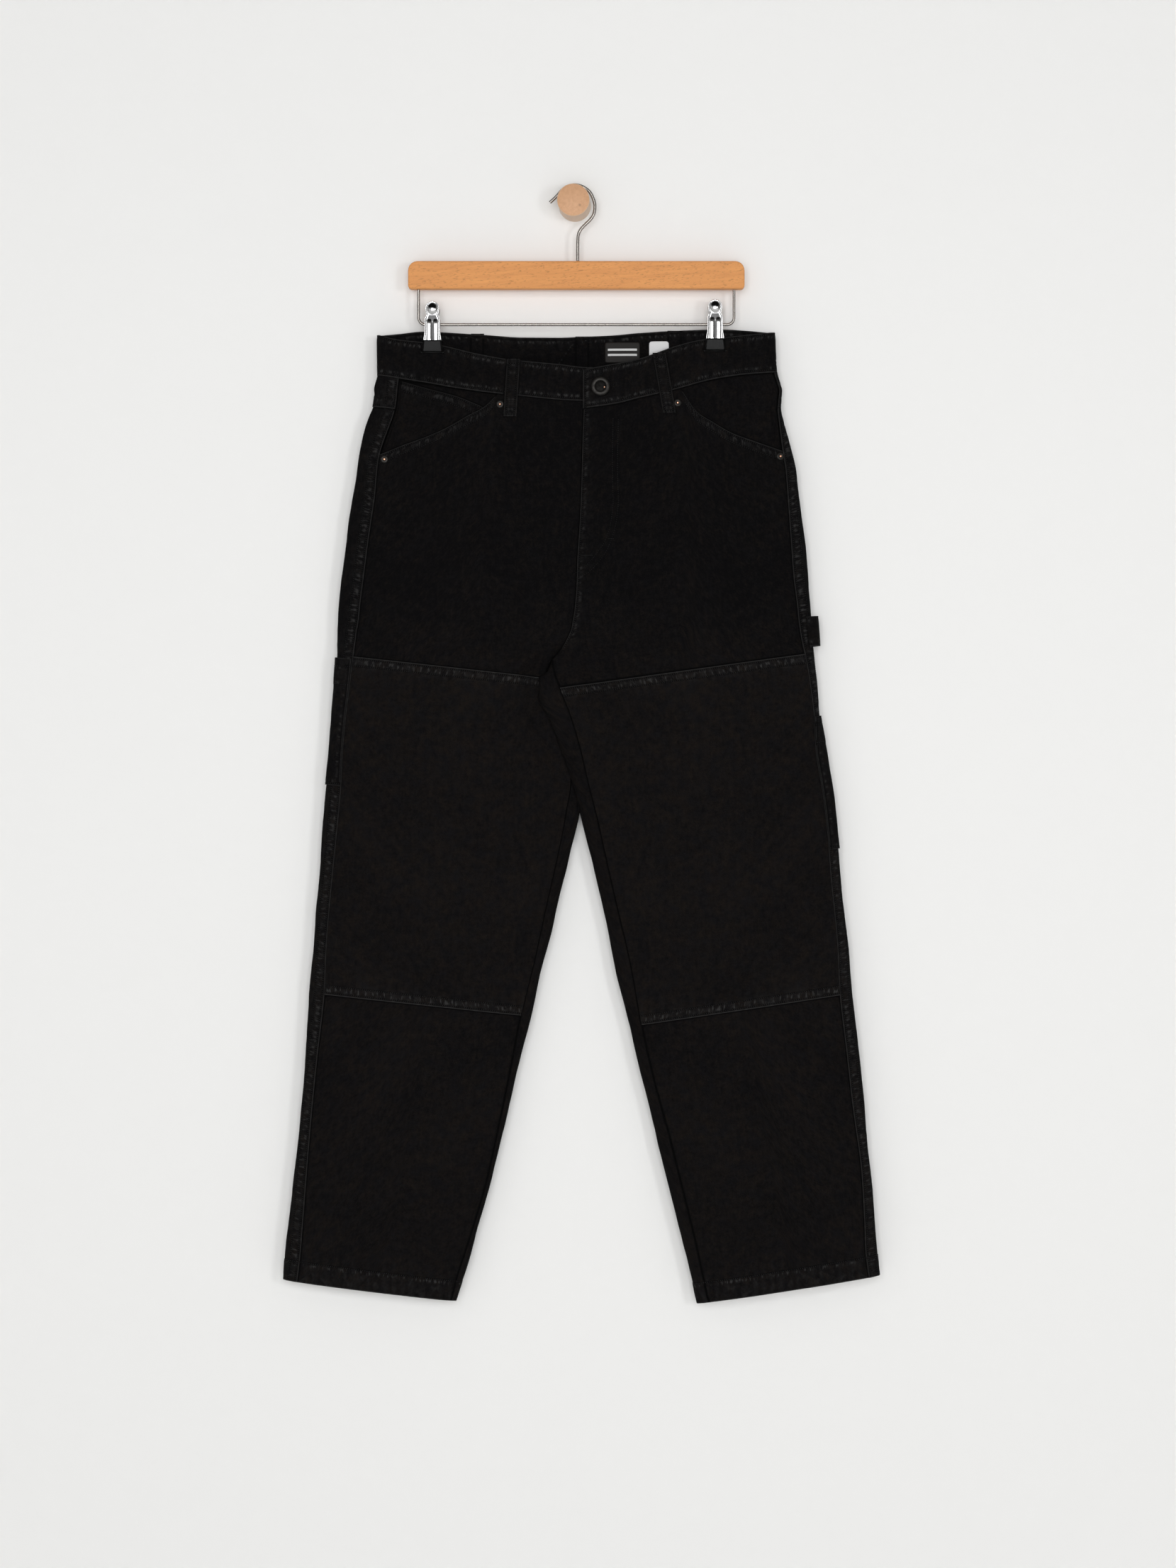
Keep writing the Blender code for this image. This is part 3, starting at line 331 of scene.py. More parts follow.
# %% Node group: washed dye
washed_dye, given, put = open_group(
    "washed_dye", {"place": "Vector", "deep": "Color", "washed": "Color", "cool": "Color", "shade": "Float",
                   "wash": "Float"}, {"colour": "Color"})
group, place = washed_dye, given["place"]
clouds = noise(group, place, 11.0, 4.0, Roughness=0.6)
mottles = noise(group, place, 150.0, 3.0)
flecks = noise(group, place, 420.0)
slubs = noise(group, stretched(group, place, (1.0, 0.2, 1.0)), 330.0, 3.0)
share = maths(group, "MULTIPLY_ADD", clouds, 1.1, -0.55)
for spots, strength in ((mottles, 1.4), (flecks, 1.4), (slubs, 0.8)):
    share = maths(group, "ADD", share, maths(group, "MULTIPLY_ADD", spots, strength, -0.5 * strength))
share = maths(group, "ADD", share, maths(group, "SUBTRACT", given["shade"], 0.5))
share = maths(group, "ADD", share, given["wash"], clamp=True)
bluish = line_of(group, noise(group, place, 70.0, 5.0, Roughness=0.7), 4.5, -1.75)
washed = mixed(group, bluish, given["washed"], given["cool"])
group.links.new(mixed(group, share, given["deep"], washed), put["colour"])

# %% [markdown]
# Where cloth is folded over a seam it stands proud and rubs pale in blotches. The shells carry that as a
# number at each point, which is high along seams and edges; on the clips the same number is a painted dark
# reflection instead. The group breaks it up into blotches.

# %% Node group: rubbed seams
rubbed_seams, given, put = open_group("rubbed_seams", {"wear": "Float", "place": "Vector", "size": "Float"},
                                      {"mask": "Float"})
group = rubbed_seams
scaled = add(group, "VectorMath", {0: given["place"]}, operation="SCALE")
group.links.new(maths(group, "DIVIDE", 1.0, given["size"]), scaled.inputs["Scale"])
blotches = line_of(group, noise(group, scaled.outputs[0], 1.0, 3.0, Roughness=0.65), 2.6, -0.7)
group.links.new(product(group, given["wear"], blotches, True), put["mask"])

# %% [markdown]
# A seam is finer than the mesh: an edge rubbed to a pale line, painted shade along the rows where the thread
# pulls the cloth down, and pale rungs between the puckers. The mesh could be made finer, but it is lighter to
# let it carry how far each point is from the seam, which stays exact between points, and to draw the lines
# from that. The group is given (away, along, strength) and the distances of two rows, in millimetres. A
# strength below nothing paints a shadow line instead, where one piece disappears under another. The dark
# output is this painted shade and shadow.

# %% Node group: sewn edge
sewn_edge, given, put = open_group("sewn_edge", {"seam": "Vector", "rows": "Vector"},
                                   {"pale": "Float", "dark": "Float"})
group = sewn_edge
seam, rows = parts_of(group, given["seam"]), parts_of(group, given["rows"])


def drawn_line(at, half):
    """1 on the line at that distance from the seam, 0 from half a width away."""
    gap = maths(sewn_edge, "ABSOLUTE", maths(sewn_edge, "SUBTRACT", seam["X"], at))
    return maths(sewn_edge, "SUBTRACT", 1.0, maths(sewn_edge, "DIVIDE", gap, half), clamp=True)


def uneven(along, across, low, gain):
    """A noise with its own scales along and across the seam, made sharp."""
    place = add(sewn_edge, "CombineXYZ", {"X": product(sewn_edge, seam["Y"], along),
                                          "Y": product(sewn_edge, seam["X"], across)}).outputs[0]
    return line_of(sewn_edge, noise(sewn_edge, place, 1.0), gain, -gain * low)


inside = maths(group, "SUBTRACT", 1.0, maths(group, "DIVIDE", seam["X"], rows["Z"]), clamp=True)
inside = product(group, inside, 1.8, True)
beside = maths(group, "ADD", drawn_line(maths(group, "ADD", rows["X"], 2.3), 2.6),
               drawn_line(maths(group, "SUBTRACT", rows["Y"], 2.6), 3.0), clamp=True)
rungs = product(group, product(group, uneven(0.4, 0.12, 0.5, 6.0), beside), 1.1)
puckers = product(group, product(group, uneven(0.16, 0.12, 0.5, 4.0), inside), 0.35)
patchy = maths(group, "MULTIPLY_ADD", uneven(0.3, 0.1, 0.3, 2.0), 0.4, 0.6)
edge = product(group, drawn_line(0.5, 0.85), patchy)
rubbed = maths(group, "ADD", maths(group, "MAXIMUM", rungs, puckers), edge, clamp=True)
group.links.new(product(group, rubbed, seam["Z"], True), put["pale"])
# painted shade along the stitch rows, where the thread pulls the cloth down
grooves = maths(group, "ADD", drawn_line(rows["X"], 1.1), drawn_line(rows["Y"], 1.1), clamp=True)
# painted shadow line at a seam whose strength is below nothing, where one piece disappears under another
under = product(group, product(group, drawn_line(0.1, 1.7), seam["Z"]), -1.6, True)
group.links.new(maths(group, "MAXIMUM", product(group, grooves, 0.85), under), put["dark"])

# %% [markdown]
# Wood is long fibres with darker growth lines, the beech bar has short dark flecks besides. Scratched metal
# is the same idea turned small: fine lines and a little dust change how rough it is. Each is a group of its
# own, because the two woods share one and all the metals share the other.

# %% Node groups: wood grain and handled metal
wood_grain, given, put = open_group("wood_grain", {"place": "Vector", "stretch": "Vector"},
                                    {"grain": "Float", "flecks": "Float"})
group = wood_grain
fibres = stretched(group, given["place"], given["stretch"])
group.links.new(noise(group, fibres, 5.0, 6.0, Roughness=0.62, Distortion=0.4), put["grain"])
fine = noise(group, stretched(group, fibres, (4.0, 1.0, 1.0)), 17.0)
group.links.new(product(group, maths(group, "SUBTRACT", fine, 0.58), 7.0, True), put["flecks"])

handled_metal, given, put = open_group("handled_metal", {"place": "Vector", "base": "Float"},
                                       {"roughness": "Float", "height": "Float", "dull": "Float"})
group = handled_metal
dust = noise(group, given["place"], 260.0, 4.0)
smears = maths(group, "MAXIMUM", product(group, maths(group, "SUBTRACT", dust, 0.45), 0.5), 0.0)
group.links.new(maths(group, "ADD", given["base"], smears), put["roughness"])
group.links.new(noise(group, stretched(group, given["place"], (900.0, 900.0, 60.0)), 1.0, 3.0), put["height"])
group.links.new(line_of(group, dust, 2.0, -1.0), put["dull"])

# %% [markdown]
# The cloth's material puts the four cloth groups together. The place comes from a UV map in metres of cloth,
# so the ribs run with each panel as they do on cut twill, and the wear comes from the shells. The picture
# shows the black very deep, so the shader's own shine is turned low: a cloth of loose yarn has no clear
# gloss.

# %% Materials of cloth and thread
DEEP_BLACK = (0.0017, 0.0016, 0.0019)
WASHED_BLACK = (0.0088, 0.0067, 0.0054)
COOL_BLACK = (0.0054, 0.0051, 0.0056)
RUBBED_GREY = (0.032, 0.0315, 0.0315)
# colour of the painted shade in the stitch rows and of the painted shadow lines under overlapping edges
PAINTED_SHADE_BLACK = (0.0006, 0.0006, 0.0007)
THREAD_BLACK = (0.0022, 0.0022, 0.0025)
STRAND_BLACKS = ((0.0008, 0.0008, 0.0009), (0.0035, 0.0034, 0.0036))
TWILL_PITCH = 0.0012
SATIN_PITCH = 0.0006

twill, tree, shader = finish("black_twill", WASHED_BLACK, 0.92, Specular_IOR_Level=0.08)
place = add(tree, "UVMap", uv_map="cloth").outputs["UV"]
weave = use_group(tree, twill_weave, place=place, pitch=TWILL_PITCH)
dye = use_group(tree, washed_dye, place=place, deep=(*DEEP_BLACK, 1.0), washed=(*WASHED_BLACK, 1.0),
                cool=(*COOL_BLACK, 1.0), shade=weave["shade"], wash=carried(tree, "wash"))
rubbed = use_group(tree, rubbed_seams, wear=carried(tree, "wear"), place=place, size=0.005)
edge = use_group(tree, sewn_edge, seam=carried(tree, "seam", "Vector"), rows=carried(tree, "rows", "Vector"))
pale = maths(tree, "MAXIMUM", rubbed["mask"], edge["pale"])
shown = mixed(tree, pale, dye["colour"], RUBBED_GREY)
# the seams' dark output paints shade and shadow lines in this near black
colour_into(tree, shader, mixed(tree, edge["dark"], shown, PAINTED_SHADE_BLACK))
relief_into(tree, shader, weave["height"], 0.5, 0.00025)

thread, tree, shader = finish("black_thread", THREAD_BLACK, 0.55, Specular_IOR_Level=0.3)
strand = noise(tree, add(tree, "TexCoord").outputs["Object"], 2400.0, 1.0)
colour_into(tree, shader, mixed(tree, strand, *STRAND_BLACKS))

# %% [markdown]
# The two labels are woven satin: finer than the twill and a little shinier. What was written on them is left
# out, the dark one has two plain pale bars instead, woven in as a mask of the label's own coordinates.

# %% Materials of the labels
BAR_COLOUR = (0.62, 0.62, 0.62)
BAR_MIDDLE = 0.0186
BAR_HALF = (0.0155, 0.0011)
BAR_HEIGHTS = (-0.0078, -0.0133)


def near(tree, value, middle, reach):
    """1 where a value is within reach of a middle."""
    return maths(tree, "LESS_THAN", maths(tree, "ABSOLUTE", maths(tree, "SUBTRACT", value, middle)), reach)


def satin_finish(name, colour, bars=()):
    material, tree, shader = finish(name, colour, 0.6, Specular_IOR_Level=0.25)
    place = add(tree, "UVMap", uv_map="cloth").outputs["UV"]
    weave = use_group(tree, twill_weave, place=place, pitch=SATIN_PITCH)
    shown = mixed(tree, weave["shade"], dimmed(colour, 0.8), colour)
    across = parts_of(tree, place)
    for height in bars:
        inside = product(tree, near(tree, across["X"], BAR_MIDDLE, BAR_HALF[0]),
                         near(tree, across["Y"], height, BAR_HALF[1]))
        shown = mixed(tree, inside, shown, BAR_COLOUR)
    colour_into(tree, shader, shown)
    relief_into(tree, shader, weave["height"], 0.3, 0.0001)
    return material


dark_satin = satin_finish("dark_satin", (0.0115, 0.0095, 0.0086), BAR_HEIGHTS)
grey_satin = satin_finish("grey_satin", (0.82, 0.82, 0.83))

# %% [markdown]
# The hard pieces: an orange-tan varnished bar, a pale peg that shows growth rings and a knot on its end,
# bright pressed clips, duller steel wires, a dark burnished button, bright copper domes in dark rings, and
# matt rubber. All but the rubber are built by two functions, so that a new wood or metal is one line.

# %% Materials of wood, metal and rubber
KNOT = (0.0046, -0.038, -0.0067)
PITH = (-0.020, 0.0, 0.024)
RUBBER_BLACKS = ((0.009, 0.009, 0.0095), (0.022, 0.0225, 0.023))


def wood_finish(name, pale, dark, stretch, side=None):
    """Wood whose fibres run along the axis with the smallest scale, with fine dark flecks.
    With a side colour, the face towards -Y is an end with growth rings and a knot."""
    material, tree, shader = finish(name, pale, 0.5, Specular_IOR_Level=0.3)
    place = add(tree, "Mapping", {"Vector": add(tree, "TexCoord").outputs["Object"],
                                  "Rotation": (0.0, 0.10, 0.0)}).outputs[0]
    wood = use_group(tree, wood_grain, place=place, stretch=stretch)
    shown = mixed(tree, line_of(tree, wood["grain"], 1.8, -0.4), dark, pale)
    shown = mixed(tree, product(tree, wood["flecks"], 0.6), shown, dimmed(dark, 0.5))
    if side:
        pith = add(tree, "Mapping", {"Vector": place, "Location": PITH}).outputs[0]
        rings = add(tree, "TexWave", {"Vector": pith, "Scale": 220.0, "Distortion": 3.0, "Detail": 2.0},
                    wave_type="RINGS", rings_direction="Y").outputs["Fac"]
        shown = mixed(tree, product(tree, rings, 0.5), shown, dark)
        knot = add(tree, "VectorMath", {0: place, 1: KNOT}, operation="DISTANCE").outputs["Value"]
        knot = product(tree, line_of(tree, knot, -650.0, 1.3), 0.55)
        shown = mixed(tree, knot, shown, dimmed(dark, 0.4))
        facing = parts_of(tree, add(tree, "NewGeometry").outputs["Normal"])
        shown = mixed(tree, line_of(tree, facing["Y"], -20.0, -17.0), side, shown)
    colour_into(tree, shader, shown)
    tree.links.new(maths(tree, "MULTIPLY_ADD", wood["grain"], 0.25, 0.4), shader.inputs["Roughness"])
    relief_into(tree, shader, wood["grain"], 0.25, 0.0003)
    return material


def metal_finish(name, colour, base, dull_colour):
    """Metal with a little dust. Where the mesh carries the marked number, the colour is painted almost black,
    a painted dark reflection of the room.
    """
    material, tree, shader = finish(name, colour, base, 1.0)
    metal = use_group(tree, handled_metal, place=add(tree, "TexCoord").outputs["Object"], base=base)
    tree.links.new(metal["roughness"], shader.inputs["Roughness"])
    shown = mixed(tree, metal["dull"], colour, dull_colour)
    # painted dark reflection: the colour goes near black where the mesh's number is high
    colour_into(tree, shader, mixed(tree, carried(tree, "wear"), shown, dimmed(colour, 0.02)))
    relief_into(tree, shader, metal["height"], 0.08, 0.00005)
    return material


beech = wood_finish("varnished_beech", (0.79, 0.355, 0.115), (0.62, 0.250, 0.072), (4.0, 60.0, 60.0))
pale_beech = wood_finish("oiled_beech", (0.76, 0.452, 0.272), (0.58, 0.32, 0.172), (60.0, 12.0, 60.0),
                         (0.68, 0.52, 0.39))
chrome = metal_finish("bright_steel", (0.72, 0.72, 0.73), 0.10, (0.55, 0.55, 0.56))
satin_steel = metal_finish("satin_steel", (0.30, 0.28, 0.262), 0.26, (0.20, 0.188, 0.176))
gunmetal = metal_finish("burnished_button", (0.031, 0.0295, 0.028), 0.46, (0.018, 0.017, 0.016))
# painted shade: the button's shallow well gets a colour far darker than the ring, standing for the shade of a
# deep recess
painted_shade_metal = metal_finish("sunken_metal", (0.010, 0.0095, 0.009), 0.5, (0.006, 0.006, 0.006))
copper = metal_finish("bright_copper", (0.90, 0.52, 0.36), 0.30, (0.55, 0.30, 0.2))
rubber, tree, shader = finish("black_rubber", (0.013, 0.013, 0.0135), 0.7, Specular_IOR_Level=0.25)
grit = noise(tree, add(tree, "TexCoord").outputs["Object"], 900.0, 3.0)
colour_into(tree, shader, mixed(tree, grit, *RUBBER_BLACKS))
relief_into(tree, shader, grit, 0.2, 0.0001)

# %% [markdown]
# A leg that hangs flat is a tube pressed thin. It could be sculpted, but a maker thinks in rows: at each
# height, where is the outer fold, the inner fold, the two seams that show in front, and how thick is the
# tube? The tables below are the same as the solids': x and z are millimetres in the cloth's plane. lean
# moves the inner part towards the wall or the viewer, because near the crotch one leg hangs before the
# other.

# %% Rows across the legs
SIDE_POWER = 2.6
CROTCH_RUN = 22.0

# Each clip as (x, z of its head, z of its rubber's lower edge)
CLIPS = {"right": (-151.5, -106.8, -160.7), "left": (149.2, -104.8, -158.9)}

Row = namedtuple(
    "Row", "place depth depth_in lean waist z_out x_out x_seam z_in x_in x_inseam lean_from lean_full")

# The same for both legs: place, half the depth at the outer and at the inner fold, lean, share of the
# waistband's shape
SECTIONS = (
    ("waist", 12.0, 12.0, 0, 1.0),
    ("yoke", 13.0, 14.0, 0, 0.6),
    ("pocket", 15.0, 16.0, 0, 0.25),
    ("seat", 16.0, 16.5, 0, 0),
    ("rise", 16.5, 16.5, 0, 0),
    ("rise_low", 16.0, 15.0, 0, 0),
    ("curve", 15.5, 12.5, 0, 0),
    ("curve_low", 15.0, 10.0, 0.05, 0),
    ("under", 14.5, 8.0, 0.2, 0),
    ("fork", 14.0, 6.5, 0.5, 0),
    ("notch", 13.5, 6.5, 1.0, 0),
    ("patch", 13.0, 6.5, 1.0, 0),
    ("thigh_1", 12.5, 6.5, 1.0, 0),
    ("thigh_2", 12.5, 6.5, 1.0, 0),
    ("thigh_3", 12.5, 7.0, 1.0, 0),
    ("thigh_4", 12.5, 8.0, 0.8, 0),
    ("thigh_5", 12.5, 9.5, 0.4, 0),
    ("thigh_6", 12.5, 11.0, 0.1, 0),
    ("knee_top", 12.5, 12.5, 0, 0),
    ("knee", 13.0, 13.0, 0, 0),
    ("shin_1", 12.5, 12.5, 0, 0),
    ("shin_2", 12.0, 12.0, 0, 0),
    ("shin_3", 12.0, 12.0, 0, 0),
    ("shin_4", 12.5, 12.5, 0, 0),
    ("hem_top", 13.5, 13.5, 0, 0),
    ("hem", 14.0, 14.0, 0, 0),
)
# z and x at the outer fold, x of the outseam, z and x at the inner fold, x of the inseam, and the x where
# the lean begins and where it is full
RIGHT_LEG = (
    (-184.8, -209.5, -187.2, -213.5, 9.5, 9.5, 0, 0),
    (-218.0, -217.4, -191.7, -246.7, 8.5, 8.5, 0, 0),
    (-269.4, -228.7, -207.6, -295.1, 7.1, 7.1, 0, 0),
    (-313.2, -235.9, -212.3, -337.3, 5.5, 5.5, 0, 0),
    (-358.5, -242.3, -218.9, -381.1, 2.7, 2.7, 0, 0),
    (-400.0, -247.5, -224.2, -420.4, 1.1, 1.1, 0, 0),
    (-426.4, -250.2, -227.6, -444.5, -1.9, -1.9, 0, 0),
    (-447.6, -251.8, -229.9, -463.4, -7.1, -7.1, -30.9, -8.3),
    (-456.6, -252.1, -231.8, -477.0, -14.7, -14.7, -42.2, -19.6),
    (-464.2, -252.1, -232.5, -487.3, -24.1, -24.1, -49.8, -33.9),
    (-470.2, -252.3, -233.3, -497.0, -26.4, -29.4, -58.0, -40.0),
    (-481.9, -252.5, -234.8, -507.2, -23.4, -27.1, -62.0, -43.0),
    (-513.2, -254.4, -238.5, -539.7, -10.5, -18.1, -58.0, -38.0),
    (-547.2, -257.0, -242.7, -574.4, 0.0, -10.9, -50.0, -26.0),
    (-585.0, -260.1, -246.1, -613.7, 6.1, -4.5, -42.0, -12.0),
    (-622.7, -263.8, -248.0, -652.2, 4.6, -10.2, -37.0, 3.1),
    (-668.0, -268.4, -252.1, -695.2, -6.0, -18.5, -37.0, -8.3),
    (-720.9, -271.8, -257.4, -747.3, -18.5, -30.2, -40.7, -19.6),
    (-781.3, -277.1, -262.7, -806.2, -33.2, -43.0, 0, 0),
    (-842.0, -282.3, -265.7, -867.0, -47.5, -57.6, 0, 0),
    (-902.1, -286.1, -272.5, -925.5, -61.9, -69.0, 0, 0),
    (-962.5, -290.6, -278.6, -985.9, -75.8, -81.5, 0, 0),
    (-1022.9, -297.1, -283.8, -1046.3, -90.9, -95.1, 0, 0),
    (-1083.3, -304.2, -288.4, -1106.7, -107.6, -113.2, 0, 0),
    (-1124.8, -308.4, -291.8, -1147.1, -120.0, -126.1, 0, 0),
    (-1146.7, -310.3, -294.4, -1169.3, -126.8, -132.1, 0, 0),
)
LEFT_LEG = (
    (-181.6, 214.5, 211.8, -221.8, 9.5, 9.5, 0, 0),
    (-218.0, 222.8, 220.1, -246.7, 8.5, 8.5, 0, 0),
    (-265.6, 231.4, 222.8, -295.1, 7.1, 7.1, 0, 0),
    (-313.2, 238.6, 225.9, -337.3, 5.5, 5.5, 0, 0),
    (-358.5, 243.9, 229.2, -381.1, 2.7, 2.7, 0, 0),
    (-400.0, 247.5, 232.3, -420.4, 1.1, 1.1, 0, 0),
    (-426.4, 249.6, 235.7, -444.5, -1.9, -1.9, 0, 0),
    (-447.6, 251.4, 237.9, -463.4, -7.1, -7.1, 21.9, -6.0),
    (-456.6, 252.1, 239.2, -477.0, -14.7, -14.7, 18.2, -12.0),
    (-464.2, 252.6, 240.5, -487.3, -24.1, -24.1, 15.9, -17.3),
    (-470.2, 253.0, 241.6, -501.9, -33.2, -21.9, 18.9, -17.3),
    (-479.6, 253.7, 243.9, -520.0, -37.7, -15.8, 21.9, -14.3),
    (-511.0, 256.7, 249.2, -551.0, -26.8, -3.7, 29.5, -3.7),
    (-547.2, 259.4, 253.7, -585.0, -14.3, 6.5, 38.5, 5.3),
    (-585.0, 265.8, 255.6, -621.2, -1.5, 15.1, 46.1, 11.4),
    (-622.7, 272.6, 262.0, -657.5, 7.6, 24.2, 52.1, 15.9),
    (-668.0, 277.5, 267.7, -701.2, 18.9, 34.0, 59.7, 25.7),
    (-720.9, 283.2, 271.8, -754.1, 31.0, 46.1, 67.2, 37.0),
    (-781.3, 289.2, 277.9, -813.0, 43.4, 59.7, 0, 0),
    (-842.4, 295.2, 281.3, -877.9, 58.9, 71.4, 0, 0),
    (-902.1, 302.0, 288.4, -936.8, 72.9, 84.6, 0, 0),
    (-962.5, 308.1, 295.2, -994.9, 87.2, 100.4, 0, 0),
    (-1022.9, 313.0, 303.5, -1053.1, 101.6, 114.8, 0, 0),
    (-1083.3, 318.6, 307.3, -1111.2, 115.9, 129.1, 0, 0),
    (-1119.5, 322.0, 308.8, -1149.7, 126.1, 137.4, 0, 0),
    (-1142.2, 324.3, 311.8, -1172.0, 131.4, 142.7, 0, 0),
)
PLACES = [section[0] for section in SECTIONS]

# The centre back seam as (x, z), from the waist down to where it passes under the crotch
BACK_SEAM = {
    "waist": (7.6, -182.6),
    "yoke": (7.2, -246.7),
    "pocket": (6.8, -305.6),
    "seat": (5.3, -347.1),
    "rise": (2.7, -388.7),
    "rise_low": (1.1, -426.4),
    "curve": (-1.5, -450.6),
    "curve_low": (-6.8, -468.5),
    "under": (-14.3, -480.5),
    "fork": (-24.5, -491.5),
}

# Edges of the waistband and pockets as (x, z), from -X to +X
BAND_TOP_RIGHT = ((-209.0, -141.9), (-189.5, -146.7), (-162.3, -149.3), (-139.6, -153.1), (-107.2, -161.4),
                  (-71.7, -168.6), (-57.3, -170.4), (-18.1, -174.5), (15.9, -178.0), (60.0, -178.0))
BAND_LOW_RIGHT = ((-209.5, -184.8), (-185.7, -188.6), (-159.3, -192.4), (-119.3, -199.6), (-74.0, -206.0),
                  (9.5, -213.5), (60.0, -213.5))
BAND_TOP_LEFT = ((6.8, -181.0), (33.3, -176.1), (67.2, -169.0), (82.3, -163.6), (112.0, -152.6),
                 (135.2, -146.6), (158.6, -144.1), (182.0, -142.2), (214.0, -139.2))
BAND_LOW_LEFT = ((9.5, -221.8), (44.6, -216.5), (67.2, -210.5), (91.4, -204.5), (106.5, -200.4),
                 (142.7, -189.8), (174.4, -184.6), (214.5, -181.6))
BAND_TOP_BACK = ((-209.0, -141.9), (-189.5, -140.3), (-160.8, -138.0), (-138.1, -138.8), (-95.1, -141.0),
                 (-55.8, -143.4), (-18.1, -143.4), (7.6, -142.5), (41.6, -141.0), (67.2, -138.8),
                 (112.5, -136.5), (158.6, -135.7), (182.0, -136.5), (214.0, -139.2))
BAND_LOW_BACK = ((-209.5, -184.8), (-160.0, -180.0), (7.6, -182.6), (160.0, -178.0), (214.5, -181.6))
POCKET_MOUTH = {
    "right": ((-206.1, -269.4), (-183.4, -260.3), (-157.0, -250.5), (-132.8, -239.2), (-114.0, -228.6),
              (-96.6, -219.6), (-83.8, -207.5)),
    "left": ((113.8, -201.5), (129.9, -224.1), (148.8, -236.2), (165.4, -246.0), (193.3, -256.5),
             (222.4, -266.2)),
}
COIN_POCKET_TOP = ((-185.7, -190.9), (-157.0, -198.4), (-126.8, -206.8), (-96.6, -219.6))

# How far the middle of the waistband's cloth stands from the middle plane: (x, in front, behind)
BAND_DEPTH = ((-209.5, 0.0, 0.0), (-208.2, 2.6, 2.6), (-202.0, 4.6, 4.6), (-186.0, 4.4, 4.4),
              (-166.0, 1.8, 1.8), (-163.0, 1.6, 1.6), (-140.0, 1.6, 1.6), (-137.0, 1.8, 1.8),
              (-112.0, 5.6, 4.4), (-72.0, 11.0, 6.4), (-20.0, 15.0, 8.0), (20.0, 15.6, 8.0),
              (66.0, 12.6, 7.0), (110.0, 6.6, 4.6), (135.0, 1.8, 1.8), (138.0, 1.6, 1.6),
              (160.5, 1.6, 1.6), (164.0, 1.8, 1.8), (188.0, 4.4, 4.4), (206.0, 4.6, 4.6),
              (213.2, 2.6, 2.6), (214.5, 0.0, 0.0))
# What the lapped end of the waistband stands further off, as (x, extra)
FLAP_EXTRA = ((8.0, 3.0), (50.0, 2.9), (95.0, 0.0))
# Upper and lower edge of the tool pockets and of the hammer loop, on the outer fold
TOOL_POCKET = {"right": (-485.0, -620.5), "left": (-547.2, -688.4)}
HAMMER_LOOP = (-441.5, -473.2)
# Belt loops: name, x at the top and the foot, z of both, and the side, -1 in front and 1 behind
LOOPS = (
    ("belt_loop_front_right", -65.0, -68.8, -169.0, -229.8, -1),
    ("belt_loop_front_left", 89.5, 100.5, -162.4, -225.8, -1),
    ("belt_loop_back_right", -104.0, -106.0, -139.0, -198.0, 1),
    ("belt_loop_back_centre", 7.6, 7.6, -141.6, -201.0, 1),
    ("belt_loop_back_left", 106.0, 108.0, -135.8, -195.0, 1),
)

# Rivets and button as (x, z), labels as (x from, x to, z of the top, z of the foot)
RIVETS = {
    "rivet_right_top": (-79.4, -216.5),
    "rivet_right_low": (-202.3, -274.7),
    "rivet_left_top": (109.2, -214.6),
    "rivet_left_low": (218.6, -271.3),
}
BUTTON = (27.2, -198.6)
LABELS = {"label_main": (32.1, 69.3, -148.6, -170.2), "label_size": (79.3, 100.1, -147.8, -166.0)}
print("rows", len(PLACES), "from", RIGHT_LEG[0][0], "to", RIGHT_LEG[-1][0])

# %% [markdown]
# Cloth has no corners, so nothing between the table's numbers may be a straight line. A cubic through the
# points would swing past them. Here the slopes are held back where the numbers turn, which is how a bent
# batten behaves, so a fold never bulges where the table says it is flat.

# %% Smooth lines through the tables
def hermite(gap, share, start, stop, leave, arrive):
    """A cubic from start to stop that leaves and arrives at the given slopes."""
    rest = 1.0 - share
    return ((1 + 2 * share) * rest ** 2 * start + share * rest ** 2 * gap * leave
            + share ** 2 * (3 - 2 * share) * stop - share ** 2 * rest * gap * arrive)


def through(points, x, column=1):
    """Smooth value at x of a table of points."""
    known_x, known = (np.array([point[index] for point in points]) for index in (0, column))
    gaps = np.diff(known_x)
    slopes = np.diff(known) / gaps
    tangents = np.concatenate([slopes[:1], np.zeros(len(slopes) - 1), slopes[-1:]])
    before, after = slopes[:-1], slopes[1:]
    same = before * after > 0
    tangents[1:-1][same] = 2 * before[same] * after[same] / (before[same] + after[same])
    low = np.clip(np.searchsorted(known_x, x, side="right") - 1, 0, len(gaps) - 1)
    share = np.clip((x - known_x[low]) / gaps[low], 0.0, 1.0)
    return hermite(gaps[low], share, known[low], known[low + 1], tangents[low], tangents[low + 1])


def down_the_rows(knots, points, drops):
    """Points of every column at the given drops, which are distances down the outer fold."""
    gaps = np.diff(knots)[:, None, None]
    slopes = np.diff(points, axis=0) / gaps
    inner = (slopes[:-1] * gaps[1:] + slopes[1:] * gaps[:-1]) / (gaps[:-1] + gaps[1:])
    tangents = np.concatenate([slopes[:1], inner, slopes[-1:]])
    low = np.searchsorted(knots, drops.ravel(), side="right") - 1
    low = np.clip(low, 0, len(knots) - 2).reshape(drops.shape)
    columns = np.arange(drops.shape[1])[None, :]
    gap = (knots[low + 1] - knots[low])[..., None]
    share = np.clip((drops - knots[low])[..., None] / gap, 0.0, 1.0)
    return hermite(gap, share, points[low, columns], points[low + 1, columns],
                   tangents[low, columns], tangents[low + 1, columns])


def smooth_step(value):
    value = np.clip(value, 0.0, 1.0)
    return value * value * (3.0 - 2.0 * value)


